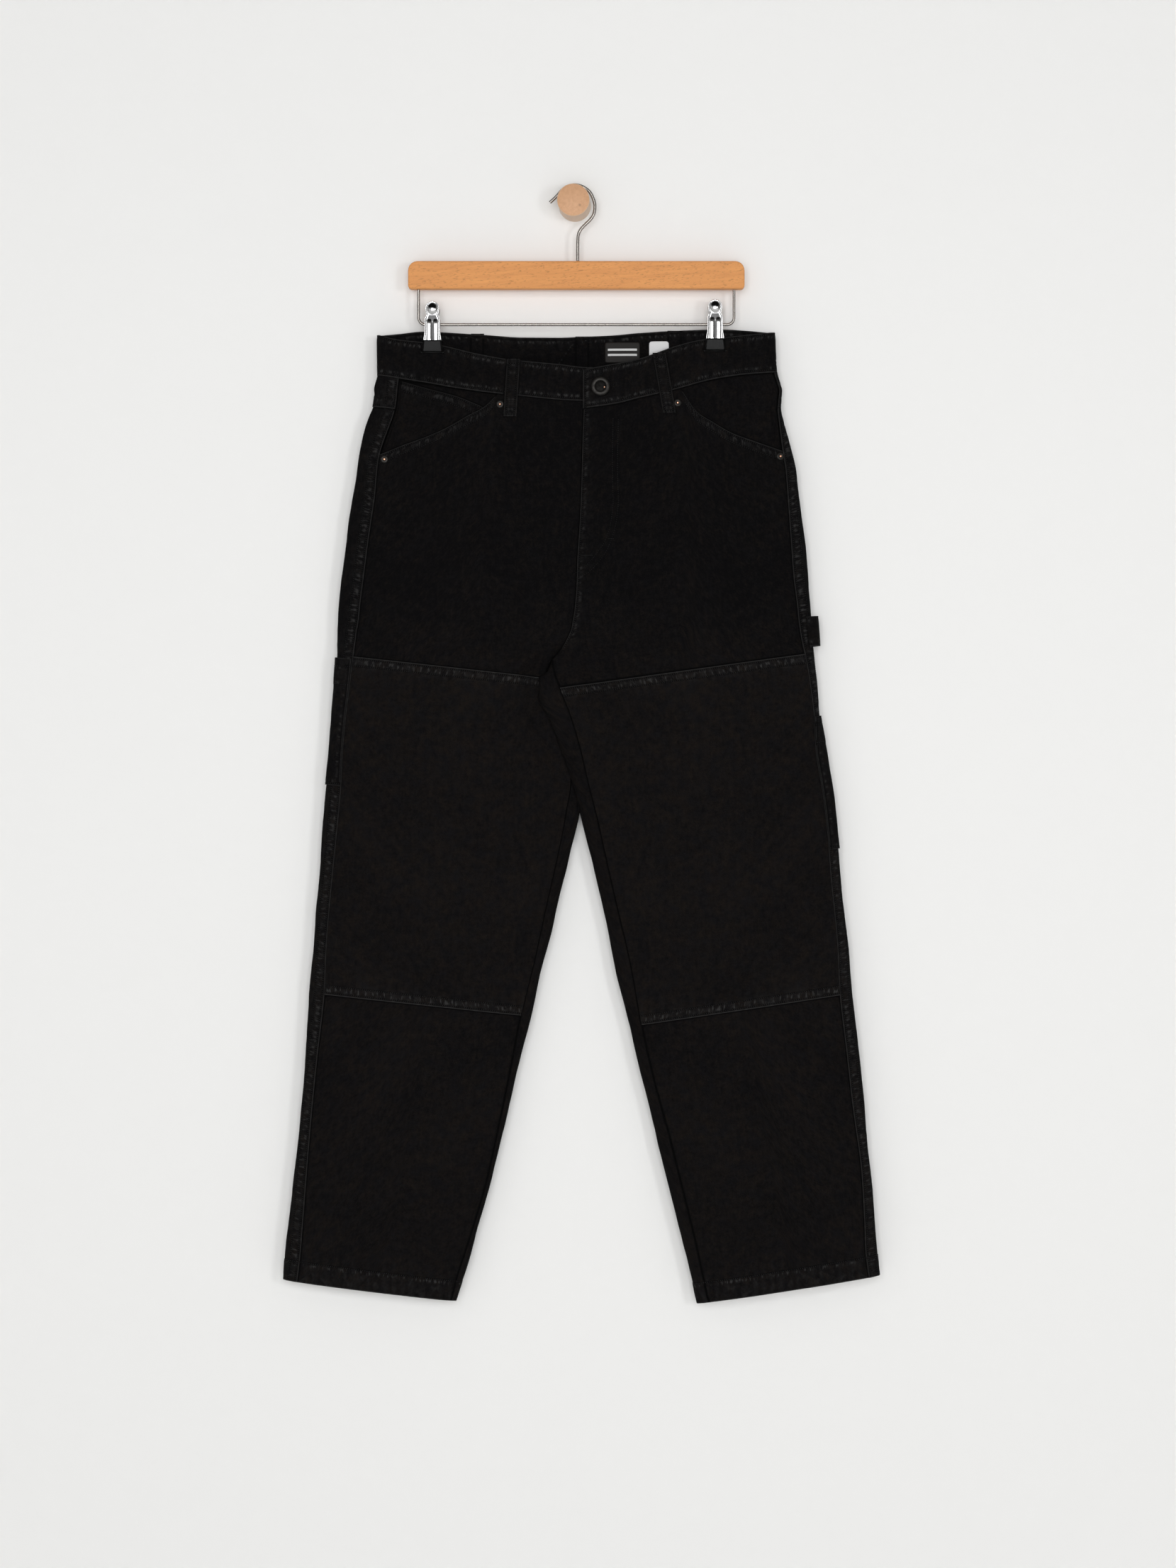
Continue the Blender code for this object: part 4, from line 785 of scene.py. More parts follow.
def gone_along(points):
    """Distance gone at every point of a line."""
    return np.concatenate([[0.0], np.cumsum(np.linalg.norm(np.diff(points, axis=0), axis=1))])


def band_depth(x, side):
    """How far the waistband's cloth stands from the middle plane, in front (-1) or behind (+1)."""
    return through(BAND_DEPTH, x, 1 if side < 0 else 2)


print("band depth at the button", float(band_depth(BUTTON[0], -1)))

# %% [markdown]
# Each half of the pants is now laid as two grids that share the outseam: the front, and the back that turns
# round both folds. Columns are close together where the cloth turns and far apart where it is flat. The rows
# lie 4 mm apart, and 1 or 2 mm near the waist and the hem, where seams pucker.

# %% The halves as fine grids
END_STEPS = np.linspace(0.0, 0.08, 22)[:-1]
FRONT_SHARES = np.concatenate([END_STEPS, np.linspace(0.08, 0.92, 47), 1.0 - END_STEPS[::-1]])
SIDE_SHARES = 1.0 - np.sin(np.linspace(0.0, math.pi / 2, 19)[:-1])
BACK_SHARES = (1.0 - np.cos(np.linspace(0.0, math.pi, 85))) / 2
INNER_SHARES = 1.0 - np.cos(np.linspace(0.0, math.pi / 2, 9)[1:])
CROTCH_STEPS = np.linspace(0.0, 1.0, 9)[1:]
FLY_LAP = 1.5
FLY_WIDTH = 45.0
FLY_END = -450.0
LEAN_CLEAR = {"right": 2.3, "left": 1.0}

# How far the picture's outline dents in or out near the fold at the hip: (height below the peg, x)
HIP_DENTS = {
    "right": ((0.0, 0.0), (184.0, 0.0), (197.0, -0.6), (206.0, 1.5), (218.0, 2.5), (228.0, 1.0), (242.0, 0.0),
              (1300.0, 0.0)),
    "left": ((0.0, 0.0), (174.0, 0.0), (187.0, 0.4), (199.0, 1.2), (211.0, -2.4), (224.0, -5.0),
             (240.0, -4.2), (262.0, -2.3), (292.0, 0.0), (1300.0, 0.0)),
}


class Half:
    """One half of the pants: front and back points on every row of its table."""

    def __init__(self, name, leg, band_low):
        self.name = name
        self.band_low = band_low
        self.mouth = POCKET_MOUTH[name]
        self.mouth_end = self.mouth[-1 if name == "right" else 0][0]
        self.behind = 1.0 if name == "right" else -1.0
        rows = [Row(*section, *edges) for section, edges in zip(SECTIONS, leg)]
        self.waist = rows[0]
        self.knots = np.array([-row.z_out for row in rows])
        self.front = np.array([self.front_row(row) for row in rows])
        self.back = np.array([self.back_row(row) for row in rows])
        self.waist_x = self.front[0, :, 0]
        top, low = self.knots[0], self.knots[-1]
        self.drops = np.concatenate([np.arange(top, top + 14, 0.8), np.arange(top + 14, top + 60, 2.2),
                                     np.arange(top + 60, low - 33, 4.2), np.linspace(low - 30, low, 34)])

    def drop_of(self, place):
        return self.knots[PLACES.index(place)]

    def at_mouth(self, x):
        """Where the pocket mouth is the front's upper edge."""
        return self.behind * (self.mouth_end - x) > 0

    def layer_y(self, row, x, x_end, side):
        """Y of the front (-1) or back (+1) layer, as in the solids: round at the folds, flat between."""
        share = np.clip((x - row.x_out) / (x_end - row.x_out), 0.0, 1.0)
        from_fold = 1.0 - share if row.place in BACK_SEAM else np.abs(2.0 * share - 1.0)
        rounding = (1.0 - from_fold ** SIDE_POWER) ** (1.0 / SIDE_POWER)
        deep = (row.depth + (row.depth_in - row.depth) * share ** 2) * rounding
        at_band = band_depth(x, side)
        if self.name == "left" and side < 0 and row.z_in > FLY_END:
            lap = FLY_LAP * (1.0 - smooth_step(np.abs(x - row.x_in) / FLY_WIDTH))
            at_band, deep = at_band + lap, deep + lap
        return self.middle(row, x, deep) + side * (deep + (at_band - deep) * row.waist)

    def middle(self, row, x, deep):
        """Y of the tube's middle. Where one leg hangs before the other, it leans out of the way."""
        if not row.lean:
            return np.full_like(x, MIDDLE_Y)
        ease = smooth_step((x - row.lean_from) / (row.lean_full - row.lean_from))
        return MIDDLE_Y + self.behind * row.lean * (deep + LEAN_CLEAR[self.name]) * ease

    def height(self, row, x):
        return row.z_out + (row.z_in - row.z_out) * (x - row.x_out) / (row.x_in - row.x_out)

    def layer(self, row, x, side, z=None, x_end=None):
        """Points at x on a layer of the row."""
        y = self.layer_y(row, x, row.x_in if x_end is None else x_end, side)
        return np.stack([x, y, self.height(row, x) if z is None else z], axis=1)

    def front_row(self, row):
        x = row.x_seam + FRONT_SHARES * (row.x_inseam - row.x_seam)
        z = self.height(row, x) + (through(self.band_low, x) - self.height(self.waist, x)) * row.waist
        return self.layer(row, x, -1, z)

    def back_row(self, row):
        x = row.x_out + (row.x_seam - row.x_out) * SIDE_SHARES
        side = self.layer(row, x, -1, through(self.band_low, x) if row.place == "waist" else None)
        if row.place not in BACK_SEAM:
            across = self.layer(row, row.x_out + (row.x_in - row.x_out) * BACK_SHARES, 1)
            inner = self.layer(row, row.x_in + (row.x_inseam - row.x_in) * INNER_SHARES, -1)
            return np.concatenate([side, across, inner])
        seam_x, seam_z = BACK_SEAM[row.place]
        stop = seam_x - self.behind * CROTCH_RUN
        x = np.concatenate([row.x_out + (stop - row.x_out) * BACK_SHARES,
                            stop + (seam_x - stop) * CROTCH_STEPS])
        z = row.z_out + (seam_z - row.z_out) * (x - row.x_out) / (seam_x - row.x_out)
        across = self.layer(row, x, 1, through(BAND_LOW_BACK, x) if row.place == "waist" else z, seam_x)
        if row.place == "fork":
            self.turn_under(row, across, seam_x, seam_z)
        return np.concatenate([side, across])

    def turn_under(self, row, across, seam_x, seam_z):
        """Bends the last columns of the fork's row under the crotch, from the back to the front."""
        low, inner = np.array([seam_x]), np.array([row.x_in])
        bend = (seam_x, self.middle(row, low, np.array([row.depth_in]))[0], seam_z)
        end = (row.x_in, self.layer_y(row, inner, row.x_in, -1)[0], row.z_in)
        start = across[len(BACK_SHARES) - 1]
        third = start + (across[-1] - start) * 0.34
        for axis in range(3):
            table = list(zip((0.0, 0.34, 0.67, 1.0), (start[axis], third[axis], bend[axis], end[axis])))
            across[len(BACK_SHARES):, axis] = through(table, CROTCH_STEPS)

    def lay(self, points, drops):
        """The fine grid: the table's rows joined smoothly, with a bend allowed where the legs part."""
        if drops.ndim == 1:
            drops = np.repeat(drops[:, None], points.shape[1], axis=1)
        fork = PLACES.index("fork")
        above = down_the_rows(self.knots[:fork + 1], points[:fork + 1], np.minimum(drops, self.knots[fork]))
        below = down_the_rows(self.knots[fork:], points[fork:], np.maximum(drops, self.knots[fork]))
        grid = np.where((drops <= self.knots[fork])[..., None], above, below)
        near_fold = smooth_step((np.abs(grid[..., 0]) - 182.0) / 28.0)
        grid[..., 0] += near_fold * through(HIP_DENTS[self.name], -grid[..., 2])
        return grid

    def meet(self, columns, edge):
        """Drop at which columns of the front cross an edge, found by halving. The edge gives z at x."""
        high = np.full(len(columns), self.knots[0])
        deep = np.full(len(columns), self.drop_of("rise"))
        for _ in range(24):
            half = (high + deep) / 2
            at = self.lay(self.front[:, columns], half[None, :])[0]
            above = at[:, 2] > edge(at[:, 0])
            high, deep = np.where(above, half, high), np.where(above, deep, half)
        return (high + deep) / 2

    def drop_grid(self, top):
        """Drops of every row and column, squeezed above the rise to begin at each column's top."""
        drops = np.repeat(self.drops[:, None], len(top), axis=1)
        bound = self.drop_of("rise")
        share = (drops - self.knots[0]) / (bound - self.knots[0])
        return np.where(drops < bound, top[None, :] + (bound - top[None, :]) * share, drops)


halves = {"right": Half("right", RIGHT_LEG, BAND_LOW_RIGHT), "left": Half("left", LEFT_LEG, BAND_LOW_LEFT)}
for half in halves.values():
    print(half.name, "columns", half.front.shape[1], half.back.shape[1], "rows", len(half.drops))

# %% [markdown]
# A panel starts as a smooth grid, and the cloth's life is put on it as lift along its normals: a raised seam,
# the grooves where stitches pull it in, the ripples between them, and folds listed one by one. Sculpting
# would give the same, but lift can be measured and changed by one number. Wear grows with the lift and goes
# to the dye.

# %% Panels with lift and wear
CLOTH = 1.2
FAR = 1000.0
NO_ROW = -50.0
GROOVE = 0.2
UNEVEN_SEED = {"right": 3, "left": 5}


def outward(grid):
    """Normals of a grid that face away from the inside of the pants."""
    normals = np.cross(np.gradient(grid, axis=0), np.gradient(grid, axis=1))
    normals /= np.maximum(np.linalg.norm(normals, axis=2, keepdims=True), 1e-9)
    core = grid.mean(axis=1, keepdims=True)
    core[:, :, 1] = MIDDLE_Y
    return normals if (normals * (grid - core)).sum() > 0 else -normals


def facing(grid, side):
    """Normals that all face the viewer (-1) or the wall (+1)."""
    return np.zeros(grid.shape) + (0.0, side, 0.0)


def steps(grid, axis):
    """Distance gone along the grid's rows (axis 1) or columns (axis 0)."""
    length = np.linalg.norm(np.diff(grid, axis=axis), axis=2)
    start = np.zeros((1, grid.shape[1]) if axis == 0 else (grid.shape[0], 1))
    return np.concatenate([start, np.cumsum(length, axis=axis)], axis=axis)


def ripples(along, size, seed):
    """Uneven waves of about one size along a seam."""
    chance = np.random.default_rng(seed)
    total = 0.0
    for _ in range(5):
        wave = size * chance.uniform(0.7, 1.6)
        height, start = chance.uniform(0.4, 1.0), chance.uniform(0, math.tau)
        total = total + height * np.sin(math.tau * along / wave + start)
    return total / 2.2


class Panel:
    """A piece of cloth as a grid, with its lift and wear."""

    def __init__(self, name, points, normals=None, cloth=CLOTH, wash=0.25):
        self.name = name
        self.points = points
        self.cloth = cloth
        self.normals = outward(points) if normals is None else normals
        self.down, self.across = steps(points, 0), steps(points, 1)
        self.away = {"top": self.down, "bottom": self.down[-1:] - self.down,
                     "first": self.across, "last": self.across[:, -1:] - self.across}
        shape = points.shape[:2]
        self.lift, self.wear = np.zeros(shape), np.zeros(shape)
        self.wash = np.full(shape, wash)
        self.seams = np.zeros((*shape, 3)) + (FAR, 0.0, 0.0)
        self.rows = np.zeros((*shape, 3)) + (NO_ROW, NO_ROW, 1.0)
        self.closest = np.full(shape, np.inf)

    def places(self):
        """x, y and z of every point, each as a grid."""
        return np.moveaxis(self.points, 2, 0)

    def from_sides(self):
        return np.minimum(self.away["first"], self.away["last"])

    def mark(self, away, along, strength, rows=(), width=1.0):
        """Tells the material how far each point is from a seam, where it draws a pale worn line or, for a
        strength below nothing, a painted shadow line. Of two seams the closest line wins.
        """
        gap = np.min([np.abs(away - line) for line in (0.4, *rows)], axis=0)
        strength = strength * np.ones(away.shape)
        closer = (gap < self.closest) & (np.abs(strength) > 0.02)
        self.closest = np.where(closer, gap, self.closest)
        self.seams[closer] = np.stack([away, along * np.ones(away.shape), strength], axis=-1)[closer]
        first, second = (*rows, NO_ROW, NO_ROW)[:2]
        self.rows[closer] = (first, second, width)

    def seam(self, edge, raised, width, rows, puckers, size, wear, seed, fade=1.0):
        """A sewn edge: the strip's height, a groove under each row of stitches, and puckers between them.
        Wear below nothing paints a shadow line at the edge instead of a pale worn one."""
        away = self.away[edge]
        along = (self.down if edge in ("first", "last") else self.across) + 0.12 * away
        self.lift += fade * raised * smooth_step((width - away) / 1.6 + 0.5)
        for row in rows:
            self.lift -= fade * GROOVE * np.exp(-((away - row) / 1.0) ** 2)
        waves = ripples(along, size, seed)
        near = np.exp(-(away / (width + 5.0)) ** 2)
        self.lift += fade * puckers * waves * near
        self.wear = np.maximum(self.wear, fade * wear * 0.35 * near * np.clip(waves, 0.0, 1.0))
        self.mark(away, along + 37.0 * seed, fade * wear, rows, width + 5.0)

    def from_route(self, route):
        """Distance from a route of (x, z) points, the same signed by side, and the share of it gone."""
        x, _, z = self.places()
        route = np.array(route)
        start = gone_along(route)
        nearest, signed, share = np.full(x.shape, 1e9), np.zeros(x.shape), np.zeros(x.shape)
        for index, length in enumerate(np.diff(start)):
            way = (route[index + 1] - route[index]) / length
            along = (x - route[index][0]) * way[0] + (z - route[index][1]) * way[1]
            off = (x - route[index][0]) * way[1] - (z - route[index][1]) * way[0]
            held = np.clip(along, 0.0, length)
            distance = np.hypot(off, along - held)
            closer = distance < nearest
            nearest = np.where(closer, distance, nearest)
            signed = np.where(closer, off, signed)
            share = np.where(closer, (start[index] + held) / start[-1], share)
        return nearest, signed, share

    def crease(self, route, depth, width, step=0.0, reach=30.0, side=-1):
        """A soft trough or ridge along a route, fading at both ends. A step lifts one side."""
        nearest, signed, share = self.from_route(route)
        ends = np.sin(math.pi * np.clip(share, 0.0, 1.0)) ** 0.7
        on_side = smooth_step(side * (self.points[:, :, 1] - MIDDLE_Y) / 5.0 + 0.2)
        self.lift += on_side * ends * depth * np.exp(-(nearest / width) ** 2)
        past = smooth_step(signed / (width * 2) + 0.5) * np.exp(-np.maximum(signed, 0.0) / reach)
        self.lift += on_side * ends * step * past * np.exp(-(np.maximum(-signed, 0.0) / width) ** 2)

    def unevenness(self, seed, broad=0.45, fine=0.1):
        """The quiet waves of cloth that nothing pulls."""
        chance = np.random.default_rng(seed)
        keep = smooth_step(self.from_sides() / 12.0)
        x, _, z = self.places()
        for size, height, count in ((75.0, broad, 5), (19.0, fine, 6)):
            for _ in range(count):
                turn = chance.uniform(0, math.pi)
                wave = size * chance.uniform(0.7, 1.5)
                phase = (x * math.cos(turn) + z * math.sin(turn)) / wave
                start = chance.uniform(0, math.tau)
                self.lift += keep * height / count ** 0.5 * np.sin(math.tau * phase + start)

    def surface(self, above=0.0):
        """Points of the panel's middle, or that far above it."""
        return self.points + self.normals * (self.lift + above)[..., None]

    def at_distance(self, edge, distance):
        """Points and normals of the line that keeps a distance from an edge, on the outer face."""
        grids = self.surface(self.cloth / 2), self.normals
        away = self.away[edge]
        if edge in ("top", "bottom"):
            away, *grids = (part.swapaxes(0, 1) for part in (away, *grids))
        if edge in ("bottom", "last"):
            away, *grids = (part[:, ::-1] for part in (away, *grids))
        return [np.array([[np.interp(distance, away[row], grid[row][:, axis]) for axis in range(3)]
                          for row in range(len(away))]) for grid in grids]


print("cloth", CLOTH, "mm thick, grooves under the stitches", GROOVE, "mm deep")

# %% [markdown]
# The grids become meshes. Real cloth has thickness that shows at every edge, so a Solidify modifier gives it.
# Each mesh carries a map of its own cloth in metres for the weave, the wear for the dye, and the seams'
# distances, from which the material draws pale worn lines and painted shadow lines.

# %% From grid to cloth
laid = {}


def grid_faces(rows, columns):
    """The four corners of every square of a grid."""
    corner = (np.arange(rows - 1)[:, None] * columns + np.arange(columns - 1)[None, :]).ravel()
    return np.stack([corner, corner + 1, corner + columns + 1, corner + columns], axis=1)


def place_piece(name, data, material):
    """Puts a mesh or curve in the scene with its finish."""
    data.materials.append(material)
    piece = bpy.data.objects.new(name, data)
    bpy.context.scene.collection.objects.link(piece)
    return piece


def tell_kit(piece, replaces):
    """Nothing moves, so every piece rides on the root."""
    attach(piece, "root")
    if replaces:
        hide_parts(*replaces)


def grid_piece(panel, material, replaces):
    """Gives the faces' corners."""
    points = panel.surface().reshape(-1, 3) * MM
    faces = grid_faces(*panel.points.shape[:2])
    corners = faces[len(faces) // 2]
    p = points[corners]
    if np.dot(np.cross(p[1] - p[0], p[3] - p[0]), panel.normals.reshape(-1, 3)[corners[0]]) <= 0:
        faces = faces[:, ::-1]
    mesh = bpy.data.meshes.new(panel.name)
    mesh.from_pydata(points.tolist(), [], faces.tolist())
    mesh.shade_smooth()
    place = np.stack([panel.across.ravel(), -panel.down.ravel()], axis=1) * MM
    mesh.uv_layers.new(name="cloth").data.foreach_set("uv", place[faces.ravel()].astype(np.float32).ravel())
    values_of = {"wear": panel.wear, "wash": panel.wash, "seam": panel.seams, "rows": panel.rows}
    for label, values in values_of.items():
        kind, field = ("FLOAT", "value") if values.ndim == 2 else ("FLOAT_VECTOR", "vector")
        carrier = mesh.attributes.new(label, kind, "POINT")
        carrier.data.foreach_set(field, values.ravel().astype(np.float32))
    panel.piece = place_piece(panel.name, mesh, material)
    solid = panel.piece.modifiers.new("thickness", "SOLIDIFY")
    solid.thickness = panel.cloth * MM
    solid.offset = 0.0
    tell_kit(panel.piece, replaces)
    laid[panel.name] = panel
    return points[faces]


def lay_cloth(panel, replaces, *rests_on, slot="twill", material=twill):
    corners = grid_piece(panel, material, replaces)
    one, two, three = (corners[:, index] - corners[:, 0] for index in (1, 2, 3))
    area = sum(np.linalg.norm(np.cross(a, b), axis=1) for a, b in ((one, two), (two, three))).sum() / 2
    width = float(math.ceil(panel.across[:, -1].max()) * MM)
    length = float(math.ceil(panel.down[-1].max()) * MM)
    area = float(min(area, width * length))
    print(panel.name, "cut", round(width, 3), "x", round(length, 3), "m, area", round(area, 4), "m2")


def stretches(name):
    """The three solids that one long panel replaces."""
    return [f"{name}_{part}" for part in ("hip", "thigh", "shin")]


# %% [markdown]
# A stitch is a short length of thread that dips into the cloth at both ends. One little capsule of four
# sides, repeated, reads as sewing even close up. The thousands of them are joined into a few meshes, one for
# each region, so that they stay light. The rows' distances from their edges, in millimetres, are read from
# the picture, and both the grooves in the cloth and the thread in them use the same names.

# %% Stitches
STITCH_PITCH = 2.3
STITCH_LENGTH = 1.5
STITCH_HALF = 0.27
STITCH_RINGS = ((-0.5, 0.5, -0.25), (-0.22, 1.0, 0.12), (0.22, 1.0, 0.12), (0.5, 0.5, -0.25))
FELLED_ROWS = (2.6, 10.6)
SEAT_ROWS = (2.6, 9.6)
YOKE_ROWS = (2.4, 9.6)
MOUTH_ROWS = (2.4, 10.4)
PATCH_ROWS = (2.3, 9.8)
COIN_ROWS = (2.3, 10.0)
FLY_ROW = (2.2,)
BAND_ROW = (2.8,)
SIDE_ROW = (2.6,)
EDGE_ROW = (2.3,)
TOOL_TOP_ROWS = (8.6, 28.0)
TOOL_SIDE_ROWS = (2.3, 8.6)
HEM_DEEP = 22.0
HEM_ROW = (HEM_DEEP - 0.5,)


def along_line(points, normals):
    """Evenly spaced places along a line: middles, directions and normals."""
    gone = gone_along(points)
    count = max(int(gone[-1] / STITCH_PITCH), 1)
    middles = (np.arange(count) + 0.5) * gone[-1] / count
    place, ahead, behind, normal = (
        np.stack([np.interp(at, gone, values[:, axis]) for axis in range(3)], axis=1)
        for at, values in ((middles, points), (middles + 0.8, points), (middles - 0.8, points),
                           (middles, normals)))
    way = ahead - behind
    way /= np.maximum(np.linalg.norm(way, axis=1, keepdims=True), 1e-9)
    normal /= np.maximum(np.linalg.norm(normal, axis=1, keepdims=True), 1e-9)
    return place, way, normal


def stitch_mesh(name, lines, panel):
    """One mesh of all the stitches along some lines, each given as (points, normals), on a panel."""
    parts = [along_line(np.array(points), np.array(normals)) for points, normals in lines if len(points) > 1]
    place, way, normal = (np.concatenate([part[index] for part in parts]) for index in range(3))
    across = np.cross(way, normal)
    corners = [place + way * STITCH_LENGTH * share + across * side * STITCH_HALF * size
               + normal * (up * STITCH_HALF * 0.8 * size + sunk)
               for share, size, sunk in STITCH_RINGS for side, up in ((-1, 0), (0, 1), (1, 0), (0, -1))]
    points = np.stack(corners, axis=1).reshape(-1, 3) * MM
    faces = [(ring * 4 + side, ring * 4 + (side + 1) % 4, ring * 4 + 4 + (side + 1) % 4, ring * 4 + 4 + side)
             for ring in range(3) for side in range(4)] + [(3, 2, 1, 0), (12, 13, 14, 15)]
    all_faces = (np.array(faces)[None] + 16 * np.arange(len(place))[:, None, None]).reshape(-1, 4)
    mesh = bpy.data.meshes.new(name)
    mesh.from_pydata(points.tolist(), [], all_faces.tolist())
    mesh.shade_smooth()
    place_piece(name, mesh, thread).parent = panel.piece
    print(name, "stitches", len(place))


def rows_of(panel, edge, distances):
    """Stitch lines at some distances from a panel's edge."""
    return [panel.at_distance(edge, distance) for distance in distances]


# %% [markdown]
# The two fronts come first. Their top edge follows the slanted pocket mouth and then the waistband. The left
# front carries the fly: its edge laps over the right one, and a double row of stitches turns in a J below
# the zip. The folds are placed from the picture: a route, then depth, width and, where one side stands
# higher, a step.

# %% Fronts
FOLDS = {
    "right": (
        (((-34.7, -492), (-35.5, -590), (-33.0, -705)), 1.4, 6.0, -2.6),
        (((-2.2, -262), (-6.0, -300), (-11.0, -332)), 0.8, 9.0),
        (((-68.8, -226), (-72.0, -285), (-70.0, -345)), 0.9, 10.0),
        (((-150.0, -330), (-118.0, -350), (-70.0, -356)), -0.6, 13.0),
        (((-205.0, -420), (-160.0, -452), (-95.0, -470)), 0.5, 16.0),
        (((-190.0, -560), (-186.0, -640), (-196.0, -740)), -0.7, 18.0),
        (((-95.0, -560), (-100.0, -660), (-112.0, -770)), 0.6, 16.0),
        (((-238.0, -905), (-200.0, -925), (-150.0, -920)), -0.6, 14.0),
        (((-120.0, -905), (-150.0, -960), (-176.0, -1050)), 0.6, 15.0),
        (((-250.0, -1000), (-246.0, -1060), (-252.0, -1120)), 0.5, 12.0),
    ),
    "left": (
        (((37.0, -524), (38.0, -566), (35.0, -615)), -1.1, 5.0, 0.6),
        (((14.0, -226.5), (21.0, -235.0), (28.5, -245.0)), 0.7, 2.6),
        (((83.8, -256), (80.0, -294), (72.0, -336)), 0.9, 9.0),
        (((63.5, -352), (60.0, -392), (66.0, -430)), 0.7, 10.0),
        (((100.5, -222), (96.0, -268), (99.0, -325)), 0.9, 9.0),
        (((60.0, -440), (110.0, -455), (180.0, -440)), -0.5, 15.0),
        (((190.0, -530), (184.0, -640), (196.0, -745)), 0.7, 17.0),
        (((110.0, -600), (120.0, -680), (128.0, -770)), -0.6, 16.0),
        (((120.0, -905), (165.0, -930), (230.0, -915)), -0.6, 14.0),
        (((200.0, -930), (215.0, -1000), (232.0, -1090)), 0.6, 15.0),
        (((270.0, -980), (276.0, -1040), (282.0, -1110)), -0.5, 12.0),
    ),
}
front_drops = {}


def washed_from(z):
    """The hips kept more of their dye than the legs below."""
    return 0.19 + 0.33 * smooth_step((-z - 430.0) / 90.0)


for name, half in halves.items():
    top = half.meet(np.arange(len(half.waist_x)),
                    lambda x: np.minimum(through(half.mouth, x), through(half.band_low, x)))
    front_drops[name] = half.drop_grid(np.where(half.at_mouth(half.waist_x), top, half.knots[0]))
fly_edge = halves["left"].lay(halves["left"].front, front_drops["left"])[:, -1]
for name, half in halves.items():
    drops = front_drops[name]
    at_mouth = half.at_mouth(half.waist_x)[None, :]
    panel = Panel(f"cloth_front_{name}", half.lay(half.front, drops))
    x, _, z = panel.places()
    panel.unevenness(UNEVEN_SEED[name])
    panel.wash = washed_from(z)
    for fold in FOLDS[name]:
        panel.crease(*fold)
    panel.seam("top", 0.35, 11.5, MOUTH_ROWS, 0.10, 7.0, 0.6, 11, fade=at_mouth.astype(float))
    panel.seam("bottom", 0.5, HEM_DEEP, (NO_ROW, *HEM_ROW), 0.26, 11.0, 0.9, 12)
    on_hip = smooth_step((z + 480.0) / 12.0)
    if name == "left":
        panel.seam("last", 0.3, 8.0, FLY_ROW, 0.12, 7.0, 0.5, 13, fade=on_hip)
    # painted shadow lines, each a strength below nothing: along the inseam below the hip, beside the back's
    # raised strip at the outseam, under the waistband's low edge, along the knee patch's top and bottom and,
    # on the right front, beside the lapped fly edge
    panel.seam("last", -0.35, 4.0, (), 0.12, 9.0, -0.9, 14, fade=1.0 - on_hip)
    panel.seam("first", -0.15, 3.0, (), 0.10, 7.0, -0.8, 15)
    panel.mark(through(half.band_low, x) - z, x, -0.8 * (1.0 - at_mouth))
    for place, way in (("patch", -1.0), ("knee", 1.0)):
        panel.mark(way * (drops - half.drop_of(place)) + 0.4, x, -1.0)
    if name == "right":
        panel.mark(np.interp(-z, -fly_edge[:, 2], fly_edge[:, 0]) - x, z, -0.9 * on_hip)
    lay_cloth(panel, stretches(f"front_{name}"), "waistband")

# %% [markdown]
# The backs wrap round both folds of their legs, so the side seams lie on the front, a finger's width from
# the fold. The strip from seam to fold is felled: two rows of stitches hold it flat and it stands a little
# proud. The yoke above takes the place of darts, and its seam to the back is felled too.

# %% Backs and yokes
BACK_FOLDS = {
    "right": (
        (((-20.0, -360), (-60.0, -420), (-120.0, -455)), 0.9, 15.0),
        (((-60.0, -470), (-110.0, -500), (-180.0, -505)), -0.8, 14.0),
        (((-106.0, -260), (-110.0, -320), (-104.0, -380)), 0.7, 13.0),
        (((-110.0, -830), (-160.0, -850), (-235.0, -845)), -1.0, 12.0),
        (((-90.0, -800), (-150.0, -818), (-210.0, -800)), 0.7, 13.0),
        (((-150.0, -560), (-158.0, -650), (-150.0, -740)), 0.6, 18.0),
        (((-200.0, -930), (-210.0, -1010), (-220.0, -1090)), 0.6, 17.0),
    ),
    "left": (
        (((28.0, -370), (75.0, -430), (140.0, -458)), 0.9, 15.0),
        (((70.0, -480), (130.0, -505), (190.0, -495)), -0.7, 14.0),
        (((108.0, -255), (104.0, -320), (112.0, -390)), 0.7, 12.0),
        (((110.0, -850), (165.0, -862), (245.0, -848)), -1.0, 12.0),
        (((120.0, -812), (180.0, -826), (250.0, -812)), 0.7, 13.0),
        (((165.0, -570), (172.0, -660), (168.0, -750)), -0.6, 18.0),
        (((215.0, -930), (224.0, -1010), (240.0, -1095)), 0.6, 17.0),
    ),
}
